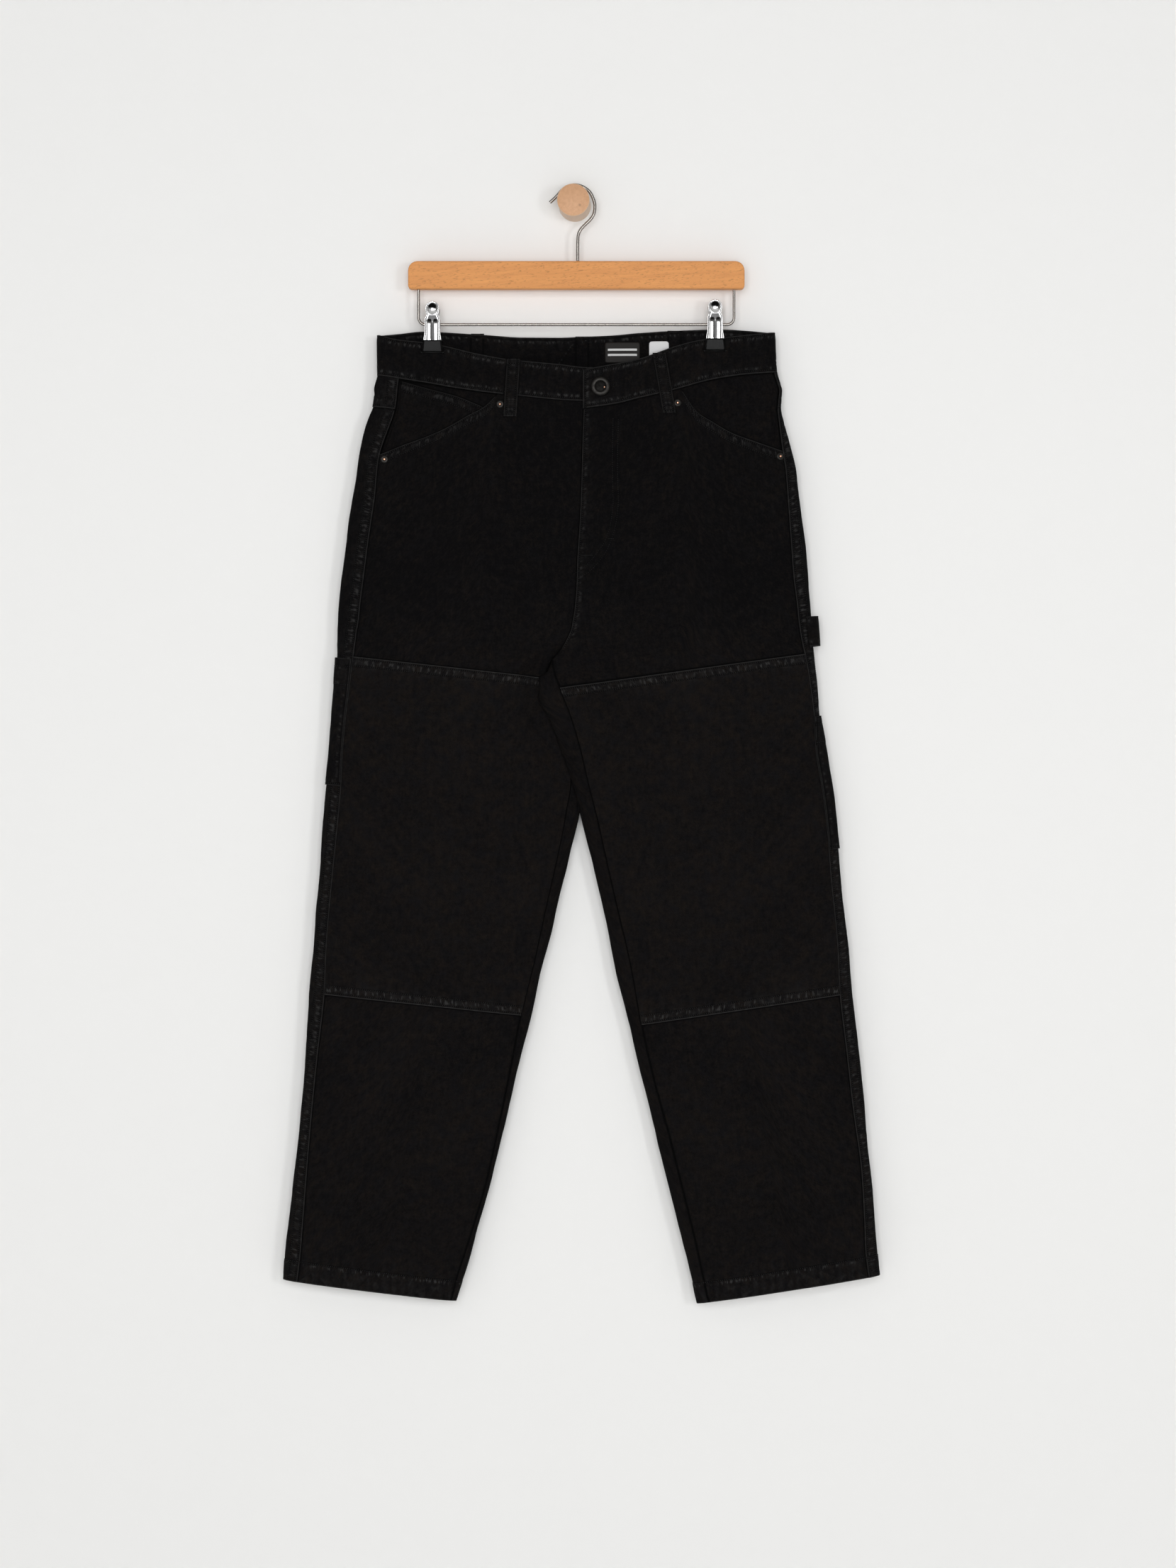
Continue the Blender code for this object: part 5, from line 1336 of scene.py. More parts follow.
for name, half in halves.items():
    seam_drop = half.drop_of("yoke")
    drops = np.concatenate([[seam_drop], half.drops[half.drops >= seam_drop]])
    panel = Panel(f"cloth_back_{name}", half.lay(half.back, drops))
    _, _, z = panel.places()
    panel.unevenness({"right": 7, "left": 9}[name])
    panel.wash = washed_from(z)
    for fold in BACK_FOLDS[name]:
        panel.crease(*fold, side=1)
    on_hip = smooth_step((z + 470.0) / 12.0)
    panel.seam("first", 0.55, 12.5, FELLED_ROWS, 0.15, 7.0, 0.7, 21)
    # painted shadow line under the yoke's edge
    panel.seam("top", 0.0, 3.0, (), 0.12, 7.0, -0.8, 22)
    panel.seam("bottom", 0.5, HEM_DEEP, (NO_ROW, *HEM_ROW), 0.26, 11.0, 0.9, 23)
    panel.seam("last", 0.4, 11.0, SEAT_ROWS, 0.12, 7.0, 0.5, 24, fade=on_hip)
    # painted shadow line along the inseam below the hip
    panel.seam("last", -0.3, 4.0, (), 0.12, 9.0, -0.9, 25, fade=1.0 - on_hip)
    lay_cloth(panel, stretches(f"back_{name}"), "waistband")
    panel = Panel(f"cloth_yoke_{name}", half.lay(half.back, np.linspace(half.knots[0], seam_drop, 20)))
    panel.unevenness(31, 0.3, 0.08)
    panel.seam("bottom", 0.45, 11.5, YOKE_ROWS, 0.12, 7.0, 0.85, 32)
    panel.seam("first", 0.35, 12.0, FELLED_ROWS, 0.12, 7.0, 0.6, 33)
    lay_cloth(panel, [f"yoke_{name}"], "waistband")

# %% [markdown]
# The knee patch is a second layer of the same cut as the front below it. It gets the front's own folds, so
# the two layers move as one, and is caught flat in the side seams. Its top and bottom are turned under and
# sewn with two rows, and there the cloth puckers and rubs the most.

# %% Knee patches
for name, half in halves.items():
    first, last = half.drop_of("patch"), half.drop_of("knee")
    drops = np.concatenate([np.arange(first + 0.4, first + 14, 0.75), np.arange(first + 15, last - 15, 4.0),
                            np.linspace(last - 14, last - 0.4, 19)])
    grid = half.lay(half.front, drops)
    normals = outward(grid)
    across = steps(grid, 1)
    near_side = np.minimum(across, across[:, -1:] - across)
    over = 1.15 + 0.35 * smooth_step((near_side - 1.0) / 7.0)
    panel = Panel(f"cloth_knee_patch_{name}", grid + normals * over[..., None], normals, 1.0, 0.62)
    panel.unevenness(UNEVEN_SEED[name])
    for fold in FOLDS[name]:
        panel.crease(*fold)
    panel.seam("top", 0.45, 11.5, PATCH_ROWS, 0.2, 8.0, 0.85, 41)
    panel.seam("bottom", 0.5, 11.5, PATCH_ROWS, 0.26, 8.0, 0.95, 42)
    lay_cloth(panel, [f"knee_patch_{name}"], f"cloth_front_{name}")

# %% [markdown]
# Inside each slanted pocket mouth shows a facing of the same twill, and on the wearer's right a coin pocket
# on it. They lie behind the front, so they are laid on the front's own points, moved inwards.

# %% Pocket facings and coin pocket
def behind_front(name, half, columns, top_edge, low_edge, below, rows):
    """A grid on the front's points between two edges, moved towards the inside."""
    top, low = half.meet(columns, top_edge), half.meet(columns, low_edge)
    drops = top[None, :] + (low - top)[None, :] * np.linspace(0.0, 1.0, rows)[:, None]
    grid = half.lay(half.front[:, columns], drops)
    normals = outward(grid)
    return Panel(name, grid - normals * below, normals, 1.0)


FACING_BELOW = {"right": 2.7, "left": 1.6}
FACING_PAST_MOUTH = 9.0
COIN_POCKET_X = (-184.0, -92.0)

for name, half in halves.items():
    corner = half.mouth_end + half.behind * FACING_PAST_MOUTH
    columns = np.flatnonzero(half.behind * (corner - half.waist_x) > 0)
    panel = behind_front(f"cloth_pocket_facing_{name}", half, columns, lambda x: through(half.band_low, x),
                         lambda x: through(half.mouth, x) - 30.0, FACING_BELOW[name], 34)
    panel.unevenness(UNEVEN_SEED[name])
    x, _, z = panel.places()
    # painted shadow lines on the facing: under the pocket mouth, under the waistband, along its outer edge
    # and, on the right, under the coin pocket's top
    panel.mark(0.85 * (z - through(half.mouth, x)), x, -0.8)
    panel.mark(through(half.band_low, x) - z, x, -0.8)
    panel.mark(panel.across, z, -0.9)
    if name == "right":
        panel.mark(0.97 * (z - through(COIN_POCKET_TOP, x)), x, -0.8)
    lay_cloth(panel, [f"pocket_facing_{name}"], "waistband")

half = halves["right"]
columns = np.flatnonzero((half.waist_x > COIN_POCKET_X[0]) & (half.waist_x < COIN_POCKET_X[1]))
coin = behind_front("cloth_coin_pocket", half, columns, lambda x: through(COIN_POCKET_TOP, x),
                    lambda x: through(half.mouth, x) - 16.0, 1.5, 30)
coin.unevenness(UNEVEN_SEED["right"])
x, _, z = coin.places()
# painted shadow line under the pocket mouth
coin.mark(0.85 * (z - through(half.mouth, x)), x, -0.8)
coin.seam("top", 0.4, 11.5, COIN_ROWS, 0.12, 7.0, 0.5, 52)
lay_cloth(coin, ["coin_pocket"], "cloth_pocket_facing_right")

# %% [markdown]
# The waistband is one strip that runs from the lapped end at the fly round the left side, the back and the
# right side, and ends under the lapped end. Between the clips it falls open in front, which shows its inside
# at the back with a slanting join. It is two layers of twill, so it is laid twice as thick.

# %% Waistband
BAND_GRID_ROWS = 19
BAND_STEP = 2.4
BAND_TURN = 9.0
CORNER_PULL = 2.6
BACK_JOIN = ((8.3, -142.5), (-3.0, -154.0), (-15.8, -172.5))
LOOP_WIDTH = 13.6


def fold_steps(start, stop):
    """Places from start to stop that crowd together over the last few millimetres before a fold."""
    way = 1.0 if stop > start else -1.0
    flat = np.arange(start, stop - way * BAND_TURN, way * BAND_STEP)
    crowded = stop - way * BAND_TURN * (1.0 - np.sin(np.linspace(0.0, math.pi / 2, 14)))
    return np.concatenate([flat, crowded])


columns = []
for x, side, top, low, lapped in (
        (fold_steps(8.6, 214.5), -1, BAND_TOP_LEFT, BAND_LOW_LEFT, True),
        (fold_steps(7.6, 214.5)[::-1][1:], 1, BAND_TOP_BACK, BAND_LOW_BACK, False),
        (fold_steps(7.6, -209.5)[1:], 1, BAND_TOP_BACK, BAND_LOW_BACK, False),
        (fold_steps(48.0, -209.5)[::-1][1:], -1, BAND_TOP_RIGHT, BAND_LOW_RIGHT, False)):
    extra = through(FLAP_EXTRA, x) if lapped else 0.0
    y = MIDDLE_Y + side * (band_depth(x, side) + extra)
    high, deep = through(top, x), through(low, x)
    pulled = CORNER_PULL * smooth_step((x - 150.0) / 64.0)
    columns.append(np.array([np.stack([x - pulled * (1.0 - share), y, high + (deep - high) * share], axis=1)
                             for share in np.linspace(0.0, 1.0, BAND_GRID_ROWS)]))
band = Panel("cloth_waistband", np.concatenate(columns, axis=1), cloth=2.0 * CLOTH)
band.unevenness(61, 0.35, 0.1)
band.seam("top", 0.0, 4.0, BAND_ROW, 0.16, 9.0, 0.85, 62)
band.seam("bottom", 0.0, 4.0, BAND_ROW, 0.16, 8.0, 0.85, 63)
band.seam("first", 0.0, 4.0, SIDE_ROW, 0.05, 9.0, 0.8, 64)
x, y, z = band.places()
# painted shadows on the band beside each belt loop
for _, x_top, x_low, z_top, z_low, side in LOOPS:
    middle = x_top + (x_low - x_top) * (z_top - z) / (z_top - z_low)
    band.mark(np.abs(x - middle) - 6.6, z, -0.7 * (side * (y - MIDDLE_Y) > 0))
band.crease(BACK_JOIN, -0.7, 3.0, 0.5, 12.0, side=1)
distance, signed, gone = band.from_route(BACK_JOIN)
at_back = 1.0 * (y > MIDDLE_Y)
# a painted shade line along the back join, and a pale worn line beside it
band.mark(distance + 0.3, 100.0 * gone, -0.9 * at_back)
band.mark(distance - 1.2, 100.0 * gone, 0.5 * at_back * (signed > 0))
lay_cloth(band, ["waistband"], "clip_right_pad_back", "clip_left_pad_back")

# %% [markdown]
# On the side of each leg, towards the back, sits a long tool pocket, sewn on round the outer fold. The left
# leg has a hammer loop above it: a strap that stands off the side. Both are laid on the back's points and
# moved out.

# %% Tool pockets and hammer loop
LOOP_LIFT = tuple(zip((-0.45, -0.12, 0.0, 0.01, 0.04, 0.1, 0.19, 0.3), np.linspace(0.0, math.pi, 8)))
STRAP_LIFT = 7.0
WRAP_BEHIND = 0.30


def over_back(name, half, top, bottom, above, rows, cloth, reach):
    """A grid round the outer fold, moved out, from a share of the outseam's strip to 30 % of the back.
    Also the place of its columns: below nothing on the strip, above nothing behind the fold."""
    strip, behind = np.flatnonzero(SIDE_SHARES <= reach), np.flatnonzero(BACK_SHARES <= WRAP_BEHIND)
    columns = np.concatenate([strip, len(SIDE_SHARES) + behind])
    whole = half.lay(half.back, np.linspace(-top, -bottom, rows))
    normals = outward(whole)[:, columns]
    panel = Panel(name, whole[:, columns] + normals * above, normals, cloth)
    return panel, np.concatenate([-SIDE_SHARES[strip], BACK_SHARES[behind]])


for name, half in halves.items():
    panel, _ = over_back(f"cloth_tool_pocket_{name}", half, *TOOL_POCKET[name], 2.0, 52, 1.0, 0.97)
    panel.unevenness(71, 0.3, 0.08)
    panel.seam("top", 0.5, 29.0, TOOL_TOP_ROWS, 0.12, 8.0, 0.6, 72)
    panel.seam("bottom", 0.0, 6.0, EDGE_ROW, 0.14, 7.0, 0.6, 73)
    panel.seam("last", 0.0, 6.0, TOOL_SIDE_ROWS, 0.12, 7.0, 0.5, 74)
    panel.seam("first", 0.0, 4.0, (2.0,), 0.10, 7.0, 0.5, 75)
    lay_cloth(panel, [f"tool_pocket_{name}"], f"cloth_back_{name}")

strap, place = over_back("cloth_hammer_loop", halves["left"], *HAMMER_LOOP, 2.25, 15, 1.5, 0.45)
strap.lift += STRAP_LIFT * np.sin(through(LOOP_LIFT, place))[None, :]
strap.seam("top", 0.0, 4.0, EDGE_ROW, 0.06, 9.0, 0.6, 76)
strap.seam("bottom", 0.0, 4.0, EDGE_ROW, 0.06, 9.0, 0.6, 77)
lay_cloth(strap, ["hammer_loop"], "cloth_back_left")

# %% [markdown]
# Belt loops are narrow folded strips with a row of stitches down each side, turned under at the top and held
# by a bar of close stitches at the foot. They stand off the band by a millimetre or so, and in front they
# lie on the panel below the band, whose depth is read from the laid cloth with a ray.

# %% Belt loops
LOOP_CLOTH = 1.6
LOOP_BULGE = 1.2


def tree_of(*names, above=CLOTH / 2):
    """A search tree over the outer faces of some laid panels."""
    points, faces = [], []
    for panel in (laid[name] for name in names):
        faces += (grid_faces(*panel.points.shape[:2]) + len(points)).tolist()
        points += panel.surface(above).reshape(-1, 3).tolist()
    return BVHTree.FromPolygons(points, faces)


def seen_at(tree, x, z, side=-1):
    """Where a ray from the viewer's side, or from behind, meets the cloth at (x, z): place and normal."""
    hit, normal, _, _ = tree.ray_cast(Vector((x, MIDDLE_Y + side * 300.0, z)), Vector((0.0, -side, 0.0)))
    if hit is None:
        return None
    return np.array(hit), np.array(normal) * (1.0 if normal.y * side > 0 else -1.0)


front_tree = tree_of("cloth_front_right", "cloth_front_left")
back_tree = tree_of("cloth_yoke_right", "cloth_yoke_left", "cloth_back_right", "cloth_back_left")
trees = {-1: front_tree, 1: back_tree}
for name, x_top, x_low, z_top, z_low, side in LOOPS:
    share = np.linspace(0.0, 1.0, 34)
    middle = x_top + (x_low - x_top) * share
    z = z_top + (z_low - z_top) * share
    extra = through(FLAP_EXTRA, middle) if name == "belt_loop_front_left" else 0.0
    off = CLOTH + 0.4 + LOOP_CLOTH / 2 + LOOP_BULGE * np.sin(math.pi * share) ** 0.5
    y = MIDDLE_Y + side * (band_depth(middle, side) + extra + off)
    for index, (place_x, place_z) in enumerate(zip(middle, z)):
        found = seen_at(trees[side], place_x, place_z, side)
        if found:
            y[index] = side * max(side * y[index], side * found[0][1] + 1.3)
    y = np.convolve(np.pad(y, 2, mode="edge"), np.ones(5) / 5, "valid")
    x = middle[:, None] + LOOP_WIDTH * np.linspace(-0.5, 0.5, 11)[None, :]
    grid = np.stack([x, np.broadcast_to(y[:, None], x.shape), np.broadcast_to(z[:, None], x.shape)], axis=2)
    panel = Panel("cloth_" + name, grid, facing(grid, side), LOOP_CLOTH)
    panel.lift -= 0.5 * np.exp(-(panel.from_sides() / 0.9) ** 2)
    for edge in ("first", "last"):
        panel.seam(edge, 0.0, 4.0, SIDE_ROW, 0.05, 7.0, 0.45, 81)
    panel.seam("top", 0.5, 5.5, (5.0,), 0.08, 6.0, 0.8, 82)
    panel.seam("bottom", 0.4, 5.0, (), 0.08, 6.0, 0.8, 83)
    lay_cloth(panel, [name], "cloth_waistband")

# %% [markdown]
# Two labels are sewn to the inside of the back waistband. What they say is left out: the black one has two
# plain pale bars, the grey one is bare. Their corners are rounded and their edges sewn down.

# %% Labels
for name, slot, material, rounding in (("label_main", "label", dark_satin, 0.12),
                                       ("label_size", "size_label", grey_satin, 0.35)):
    x_from, x_to, z_top, z_low = LABELS[name]
    u, v = np.meshgrid(np.linspace(-1, 1, 31), np.linspace(-1, 1, 23))
    squeeze = 1.0 - rounding * 0.35 * np.abs(u) ** 8 * np.abs(v) ** 8
    x = (x_from + x_to) / 2 + u * squeeze * (x_to - x_from) / 2
    z = (z_top + z_low) / 2 - v * squeeze * (z_top - z_low) / 2
    y = MIDDLE_Y + band_depth(x, 1) - CLOTH - 0.8
    grid = np.stack([x, y, z], axis=2)
    panel = Panel("cloth_" + name, grid, facing(grid, -1), 0.9)
    for edge in ("top", "bottom", "first", "last"):
        panel.lift -= 0.25 * np.exp(-(panel.away[edge] / 0.9) ** 2)
    panel.lift += 0.12 * ripples(panel.across, 17.0, 91)
    lay_cloth(panel, [name], "cloth_waistband", slot=slot, material=material)

# %% [markdown]
# Every visible seam gets its thread: two rows on a felled seam, one at the edge of a hem or the waistband.
# Rows that lie at an edge all the way are a table. The seat's rows stop at the crotch, and those of the
# pocket mouth where the front goes on under the waistband.

# %% Thread along the seams
ON_HALVES = (
    ("outseam", ("back", "first", FELLED_ROWS), ("yoke", "first", FELLED_ROWS)),
    ("hem", ("front", "bottom", HEM_ROW), ("back", "bottom", HEM_ROW)),
    ("yoke", ("yoke", "bottom", YOKE_ROWS)),
    ("patch", ("knee_patch", "top", PATCH_ROWS), ("knee_patch", "bottom", PATCH_ROWS)),
    ("tool", ("tool_pocket", "top", TOOL_TOP_ROWS), ("tool_pocket", "bottom", EDGE_ROW),
     ("tool_pocket", "last", TOOL_SIDE_ROWS)),
)
ON_WHOLE = (
    ("waistband", ("top", BAND_ROW), ("bottom", BAND_ROW), ("first", SIDE_ROW)),
    ("coin_pocket", ("top", COIN_ROWS)),
    ("hammer_loop", ("top", EDGE_ROW), ("bottom", EDGE_ROW)),
    *((loop[0], ("first", SIDE_ROW), ("last", SIDE_ROW), ("top", (4.6, 5.2)), ("bottom", (1.2, 1.9, 2.6)))
      for loop in LOOPS),
)


def above_fork(panel):
    """The stitch rows of a panel's last edge down to the crotch."""
    return slice(int(np.searchsorted(-panel.points[:, -1, 2], 478.0)))


for name, half in halves.items():
    for thread_name, *rows in ON_HALVES:
        lines = [line for part, edge, distances in rows
                 for line in rows_of(laid[f"cloth_{part}_{name}"], edge, distances)]
        stitch_mesh(f"thread_{thread_name}_{name}", lines, laid[f"cloth_{rows[0][0]}_{name}"])
    back, front = laid[f"cloth_back_{name}"], laid[f"cloth_front_{name}"]
    keep = above_fork(back)
    seat = [(points[keep], normals[keep]) for points, normals in rows_of(back, "last", SEAT_ROWS)]
    stitch_mesh(f"thread_seat_{name}", seat if name == "left" else seat[:1], back)
    mouth = [(points[half.at_mouth(points[:, 0])], normals[half.at_mouth(points[:, 0])])
             for points, normals in rows_of(front, "top", MOUTH_ROWS)]
    stitch_mesh(f"thread_pocket_{name}", mouth, front)
for name, *rows in ON_WHOLE:
    panel = laid["cloth_" + name]
    stitch_mesh("thread_" + name, [line for row in rows for line in rows_of(panel, *row)], panel)

# %% [markdown]
# The fly: a double row in a J, a fine row along the lapped edge and two bartacks. The J and the bars were
# found in the picture's pixels, so they are routes across the front, dropped onto it with rays.

# %% Thread on the fly
J_PIXELS = ((872, 593), (871, 660), (872, 708), (870, 732), (863, 761), (850, 787), (830, 809), (816, 818))
J_BEND = 5
BARTACKS = (((862, 761.5), 5.0), ((827.5, 785), 12.0))
BARTACK_HIGH = 1.6
BARTACK_PITCH = 0.7


def dropped(route, tree, spacing=1.5):
    """A route of (x, z) points laid on the cloth: points and normals."""
    route = np.array(route, float)
    gone = gone_along(route)
    table_x, table_z = list(zip(gone, route[:, 0])), list(zip(gone, route[:, 1]))
    found = [seen_at(tree, float(through(table_x, at)), float(through(table_z, at)))
             for at in np.linspace(0.0, gone[-1], max(int(gone[-1] / spacing), 2))]
    return [list(part) for part in zip(*(item for item in found if item))]


def photo(pixel_x, pixel_z):
    """A picture's pixel as (x, z) in the plane of the cloth."""
    return (VIEW_CENTRE[0] + (pixel_x - FRAME_PIXELS[0] / 2) * PIXEL,
            VIEW_CENTRE[1] + (FRAME_PIXELS[1] / 2 - pixel_z) * PIXEL)


fly_tree = tree_of("cloth_front_left", "cloth_front_right")
outer_j = [photo(*pixel) for pixel in J_PIXELS]
inner_j = [(x - 5.5, z + (1.0 if index < J_BEND else 4.5)) for index, (x, z) in enumerate(outer_j)]
front = laid["cloth_front_left"]
keep = above_fork(front)
fly = [dropped(outer_j, fly_tree), dropped(inner_j, fly_tree)]
fly += [(points[keep], normals[keep]) for points, normals in rows_of(front, "last", FLY_ROW)]
for pixel, width in BARTACKS:
    middle, z = photo(*pixel)
    for x in middle + width * np.linspace(-0.5, 0.5, int(width / BARTACK_PITCH)):
        fly.append(dropped(((x, z - BARTACK_HIGH / 2), (x, z + BARTACK_HIGH / 2)), fly_tree, 0.8))
stitch_mesh("thread_fly", fly, front)

# %% [markdown]
# Turned pieces come from a profile of radius and height, spun round an axis. The button is a dark ring with a
# sunken face, painted much darker than the ring as shade, and a copper glint in it, the rivets are small
# copper domes in dark rings. They are pressed onto the cloth where it really lies.

# %% Button and rivets
RING = ((5.4, 0.2), (5.45, 2.1), (5.7, 2.6), (6.4, 3.0), (7.6, 3.1), (9.1, 2.8), (9.9, 2.2), (10.3, 1.5),
        (10.1, 0.9), (9.4, 0.5), (5.4, 0.1))
WELL = ((0.3, 0.9), (2.6, 0.75), (4.6, 0.45), (5.6, 0.2), (5.6, 0.0), (0.3, 0.0))
TACK = ((0.1, 1.5), (0.5, 1.45), (0.85, 1.2), (0.95, 0.5), (0.1, 0.5))
TACK_OFF = np.array((4.2, 0.0, -0.9))
RIVET_RING = ((1.1, 0.55), (1.4, 0.95), (2.4, 1.15), (3.4, 0.95), (4.2, 0.5), (4.35, 0.0), (1.1, 0.0))
RIVET_DOME = ((0.1, 1.45), (0.6, 1.4), (1.1, 1.15), (1.35, 0.6), (1.35, 0.0), (0.1, 0.0))
HOLE_PIXELS = ((863.5, 547.5), (867.0, 546.0), (871.0, 544.0))
HOLE_HALF = 0.9
TO_VIEWER = (0.0, -1.0, 0.0)


def smooth_form(form, name):
    """The mesh of a form, with its normals outwards."""
    bmesh.ops.recalc_face_normals(form, faces=form.faces)
    mesh = bpy.data.meshes.new(name)
    form.to_mesh(mesh)
    form.free()
    mesh.shade_smooth()
    return mesh


def turned(name, profile, centre, direction, slot, material, replaces=(), sides=48):
    """A turned piece: profile of (radius, height) from the middle outwards, height along the direction."""
    turn = Vector((0.0, 0.0, 1.0)).rotation_difference(Vector(direction)).to_matrix()
    angles = np.linspace(0.0, math.tau, sides, endpoint=False)
    form = bmesh.new()
    rings = []
    for radius, height in profile:
        places = [turn @ Vector((radius * math.cos(a), radius * math.sin(a), height)) for a in angles]
        rings.append([form.verts.new((Vector(centre) + place) * MM) for place in places])
    for ring, after in zip(rings, rings[1:]):
        for index in range(sides):
            following = (index + 1) % sides
            form.faces.new((ring[index], ring[following], after[following], after[index]))
    form.faces.new(rings[0][::-1])
    form.faces.new(rings[-1])
    mesh = smooth_form(form, name)
    mesh.set_sharp_from_angle(angle=math.radians(50.0))
    piece = place_piece(name, mesh, material)
    tell_kit(piece, replaces)
    return piece


band_tree = tree_of("cloth_waistband", above=CLOTH)
at, _ = seen_at(band_tree, *BUTTON)
turned("button_ring", RING, at, TO_VIEWER, "gunmetal", gunmetal, ["button"])
# the well's darkness is painted shade
turned("button_well", WELL, at, TO_VIEWER, "gunmetal", painted_shade_metal, sides=32)
turned("button_tack", TACK, at + TACK_OFF, TO_VIEWER, "copper", copper, sides=20)
hole = [photo(*pixel) for pixel in HOLE_PIXELS]
stitch_mesh("thread_buttonhole", [dropped([(x, z + shift) for x, z in hole], band_tree, 0.8)
                                  for shift in (-HOLE_HALF, HOLE_HALF)], band)
for name, (x, z) in RIVETS.items():
    at, normal = seen_at(front_tree, x, z)
    turned(name.replace("rivet", "rivet_ring"), RIVET_RING, at, normal, "gunmetal", gunmetal, sides=32)
    turned(name.replace("rivet", "rivet_dome"), RIVET_DOME, at, normal, "copper", copper, [name], 24)

# %% [markdown]
# The hanger's wires are bent from one rod, so they are curves with a round section. The clips are pressed
# from sheet: a round head, two ribs down the plate that stiffen it, and a wider tip in the rubber shoe. The
# peg is turned, and leans a little, as the picture shows it. The bar and the springs stay the solids, with a
# finish.

# %% Hanger
HOOK_ROUTE = ((-26.6, -0.4), (-22.8, 3.0), (-18.9, 6.9), (-15.0, 11.6), (-10.4, 15.4), (-5.0, 17.7),
              (0.5, 18.4), (6.0, 17.4), (11.2, 14.8), (15.9, 10.8), (19.2, 4.7), (21.0, -0.8),
              (21.3, -7.0), (20.0, -13.2), (16.6, -18.5), (11.9, -23.1), (9.5, -25.5), (7.3, -27.9),
              (5.4, -30.5), (4.1, -33.5), (3.4, -36.8), (3.1, -41.0), (3.0, -50.0), (3.0, -63.0))
WIRE_LEFT, WIRE_RIGHT, WIRE_TOP, WIRE_LOW = -166.4, 169.5, -93.4, -130.5
WIRE_BEND = 7.5
HOOK_RADIUS, WIRE_RADIUS = 1.7, 1.5
CLIP_OUTLINE = ((0.0, 0.8), (0.6, 3.0), (1.6, 4.7), (3.2, 6.2), (7.4, 7.4), (11.0, 6.9), (14.0, 6.2),
                (16.0, 7.2), (18.0, 8.1), (25.0, 8.1), (33.0, 8.4), (41.0, 9.6), (60.0, 9.7))
CLIP_ROWS, CLIP_COLUMNS = 44, 33
CLIP_FROM_MIDDLE = 5.9
CLIP_HEAD = 7.4
DOME_RADIUS, DOME_HIGH = 5.8, 2.3
RUBBER_WIDE_LOW, RUBBER_WIDE_HIGH, RUBBER_DEEP, RUBBER_HIGH = 21.4, 18.9, 4.0, 12.8
RUBBER_FROM_MIDDLE = 5.1
PEG = ((0.1, 37.9), (16.7, 37.9), (17.15, 37.6), (17.35, 37.0), (17.3, 32.0), (17.0, 20.0), (17.0, 0.0),
       (0.1, 0.0))
PEG_LEAN = Vector((0.042, 0.0, 0.017))


def wire(name, route, radius, replaces):
    """A round rod along a route of (x, z) points in the middle plane, with the bends smoothed."""
    route = np.array(route, float)
    gone = gone_along(route)
    at = np.arange(0.0, gone[-1], 0.8)
    x, z = down_the_rows(gone, route[:, None, :], at[:, None])[:, 0].T
    curve = bpy.data.curves.new(name, "CURVE")
    curve.dimensions = "3D"
    curve.bevel_depth = radius * MM
    curve.bevel_resolution = 5
    curve.use_fill_caps = True
    spline = curve.splines.new("POLY")
    spline.points.add(len(x) - 1)
    places = np.stack([x * MM, np.full(len(x), MIDDLE_Y * MM), z * MM, np.ones(len(x))], axis=1)
    spline.points.foreach_set("co", places.ravel())
    spline.use_smooth = True
    tell_kit(place_piece(name, curve, satin_steel), replaces)


def wire_bend(centre_x, start):
    """A quarter turn of the trouser wire, from the start angle on."""
    angles = (math.radians(start + 15 * step) for step in range(7))
    return [(centre_x + WIRE_BEND * math.cos(angle), WIRE_LOW + WIRE_BEND + WIRE_BEND * math.sin(angle))
            for angle in angles]


def clip_jaw(name, x, z_top, z_low, side, replaces):
    """One pressed jaw of a clip, as a grid of its outline with ribs, a curled edge and a dome on its head."""
    below = (z_top - z_low) * np.linspace(0.0, 1.0, CLIP_ROWS) ** 1.35
    u = np.linspace(-1.0, 1.0, CLIP_COLUMNS)[None, :]
    grid = np.zeros((CLIP_ROWS, CLIP_COLUMNS, 3))
    grid[:, :, 0] = x + u * through(CLIP_OUTLINE, below)[:, None]
    grid[:, :, 2] = (z_top - below)[:, None]
    across = np.abs(grid[:, :, 0] - x)
    above_rubber = smooth_step((z_top - below - z_low - 10.3) / 1.3)[:, None]
    long = smooth_step((below - 19.0) / 4.0)[:, None] * above_rubber
    ribs = 0.9 * (smooth_step((across - 0.8) / 1.4) - smooth_step((across - 5.0) / 1.4)) * long
    curl = 0.8 * smooth_step((np.abs(u) - 0.72) / 0.28) * above_rubber
    down = below[:, None] - CLIP_HEAD
    dome = DOME_HIGH * np.maximum(1.0 - (across ** 2 + down ** 2) / DOME_RADIUS ** 2, 0.0) ** 0.8
    grid[:, :, 1] = MIDDLE_Y + side * (CLIP_FROM_MIDDLE + ribs + curl + dome)
    panel = Panel(name, grid, facing(grid, side), 0.9)
    # painted dark reflection: the colour is made almost black over the dome, at the neck and in the groove,
    # where a hollow would mirror the dark side of the room
    crescent = smooth_step((4.6 - np.hypot(across, down + 1.6)) / 1.2) * smooth_step((1.0 - down) / 1.5)
    at_neck = smooth_step((below - 12.5) / 2.0) - smooth_step((below - 21.0) / 2.0)
    neck = smooth_step((0.72 - np.abs(u)) / 0.15) * at_neck[:, None]
    groove = smooth_step((1.7 - across) / 0.8) * long
    # the masks go to the metal as painted dark reflection
    panel.wear = np.max([crescent, 0.97 * neck, 0.97 * groove], axis=0)
    grid_piece(panel, chrome, replaces)


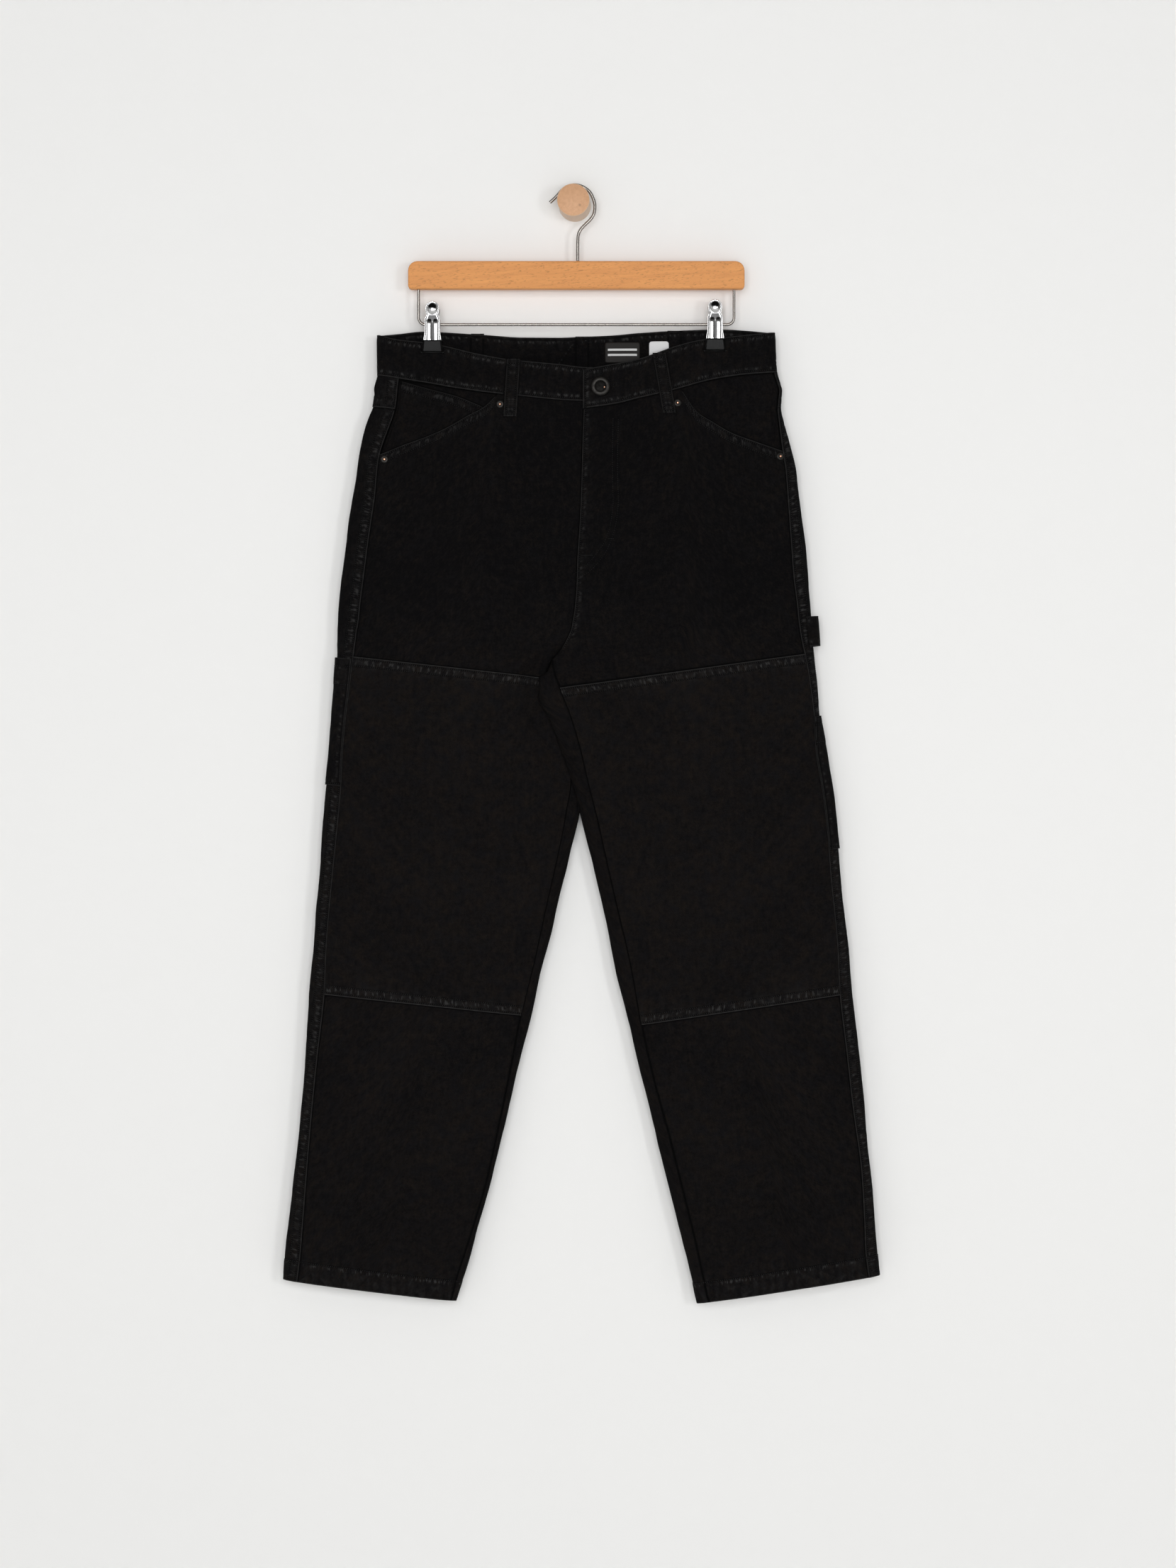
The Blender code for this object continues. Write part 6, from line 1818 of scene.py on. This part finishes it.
def rubber_tip(name, x, z_low, side, replaces):
    """The rubber shoe over a jaw's end: a block with soft edges that holds the plate and grips the cloth."""
    form = bmesh.new()
    bmesh.ops.create_cube(form, size=1.0)
    for vertex in form.verts:
        wide = RUBBER_WIDE_LOW if vertex.co.z < 0 else RUBBER_WIDE_HIGH
        y = MIDDLE_Y + side * (RUBBER_FROM_MIDDLE + vertex.co.y * RUBBER_DEEP)
        vertex.co = Vector((x + vertex.co.x * wide, y, z_low + (0.5 + vertex.co.z) * RUBBER_HIGH)) * MM
    bmesh.ops.bevel(form, geom=form.edges[:], offset=1.5 * MM, segments=4, profile=0.5, affect="EDGES")
    tell_kit(place_piece(name, smooth_form(form, name), rubber), replaces)


wire("hook_wire", HOOK_ROUTE, HOOK_RADIUS, ["hook"])
wire_route = [(WIRE_LEFT, WIRE_TOP), (WIRE_LEFT, WIRE_LOW + WIRE_BEND + 3.0),
              *wire_bend(WIRE_LEFT + WIRE_BEND, 180), (WIRE_LEFT + WIRE_BEND + 3.0, WIRE_LOW),
              (WIRE_RIGHT - WIRE_BEND - 3.0, WIRE_LOW), *wire_bend(WIRE_RIGHT - WIRE_BEND, 270),
              (WIRE_RIGHT, WIRE_LOW + WIRE_BEND + 3.0), (WIRE_RIGHT, WIRE_TOP)]
wire("bottom_wire", wire_route, WIRE_RADIUS, ["trouser_wire"])
for side_name, (x, z_top, z_low) in CLIPS.items():
    for face_name, side in (("front", -1), ("back", 1)):
        clip_jaw(f"pressed_{side_name}_{face_name}", x, z_top, z_low + 1.0, side,
                 [f"clip_{side_name}_jaw_{face_name}"])
        rubber_tip(f"rubber_{side_name}_{face_name}", x, z_low, side, [f"clip_{side_name}_pad_{face_name}"])
peg = turned("turned_peg", PEG, (0.0, 0.0, 0.0), TO_VIEWER, "pale_beech", pale_beech, ["wall_peg"], 72)
for vertex in peg.data.vertices:
    vertex.co += PEG_LEAN * vertex.co.y

dressed = {"hanger_bar": beech, "clip_right_spring": chrome, "clip_left_spring": chrome}
for name, material in dressed.items():
    bpy.data.objects[name].material_slots[0].material = material
print("dressed solids", sorted(dressed))

# %% [markdown]
# Black cloth needs far more light from behind than the wood does, whose glow would colour the wall. The
# second lamp behind the wall is therefore linked to the cloth alone.

# %% The lamp for the cloth's back
cloth_seen = bpy.data.collections.new("cloth_seen_from_behind")
for piece in bpy.data.objects:
    if piece.type in {"MESH", "CURVE"} and twill in list(piece.data.materials):
        cloth_seen.objects.link(piece)
lamp_for_cloth.light_linking.receiver_collection = cloth_seen

# %% Measure and finish
seen_box = [list(corner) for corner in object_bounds()]
for was, now in zip(cad_box, seen_box):
    print("grown by", [round((b - a) / MM, 1) for a, b in zip(was, now)], "mm")
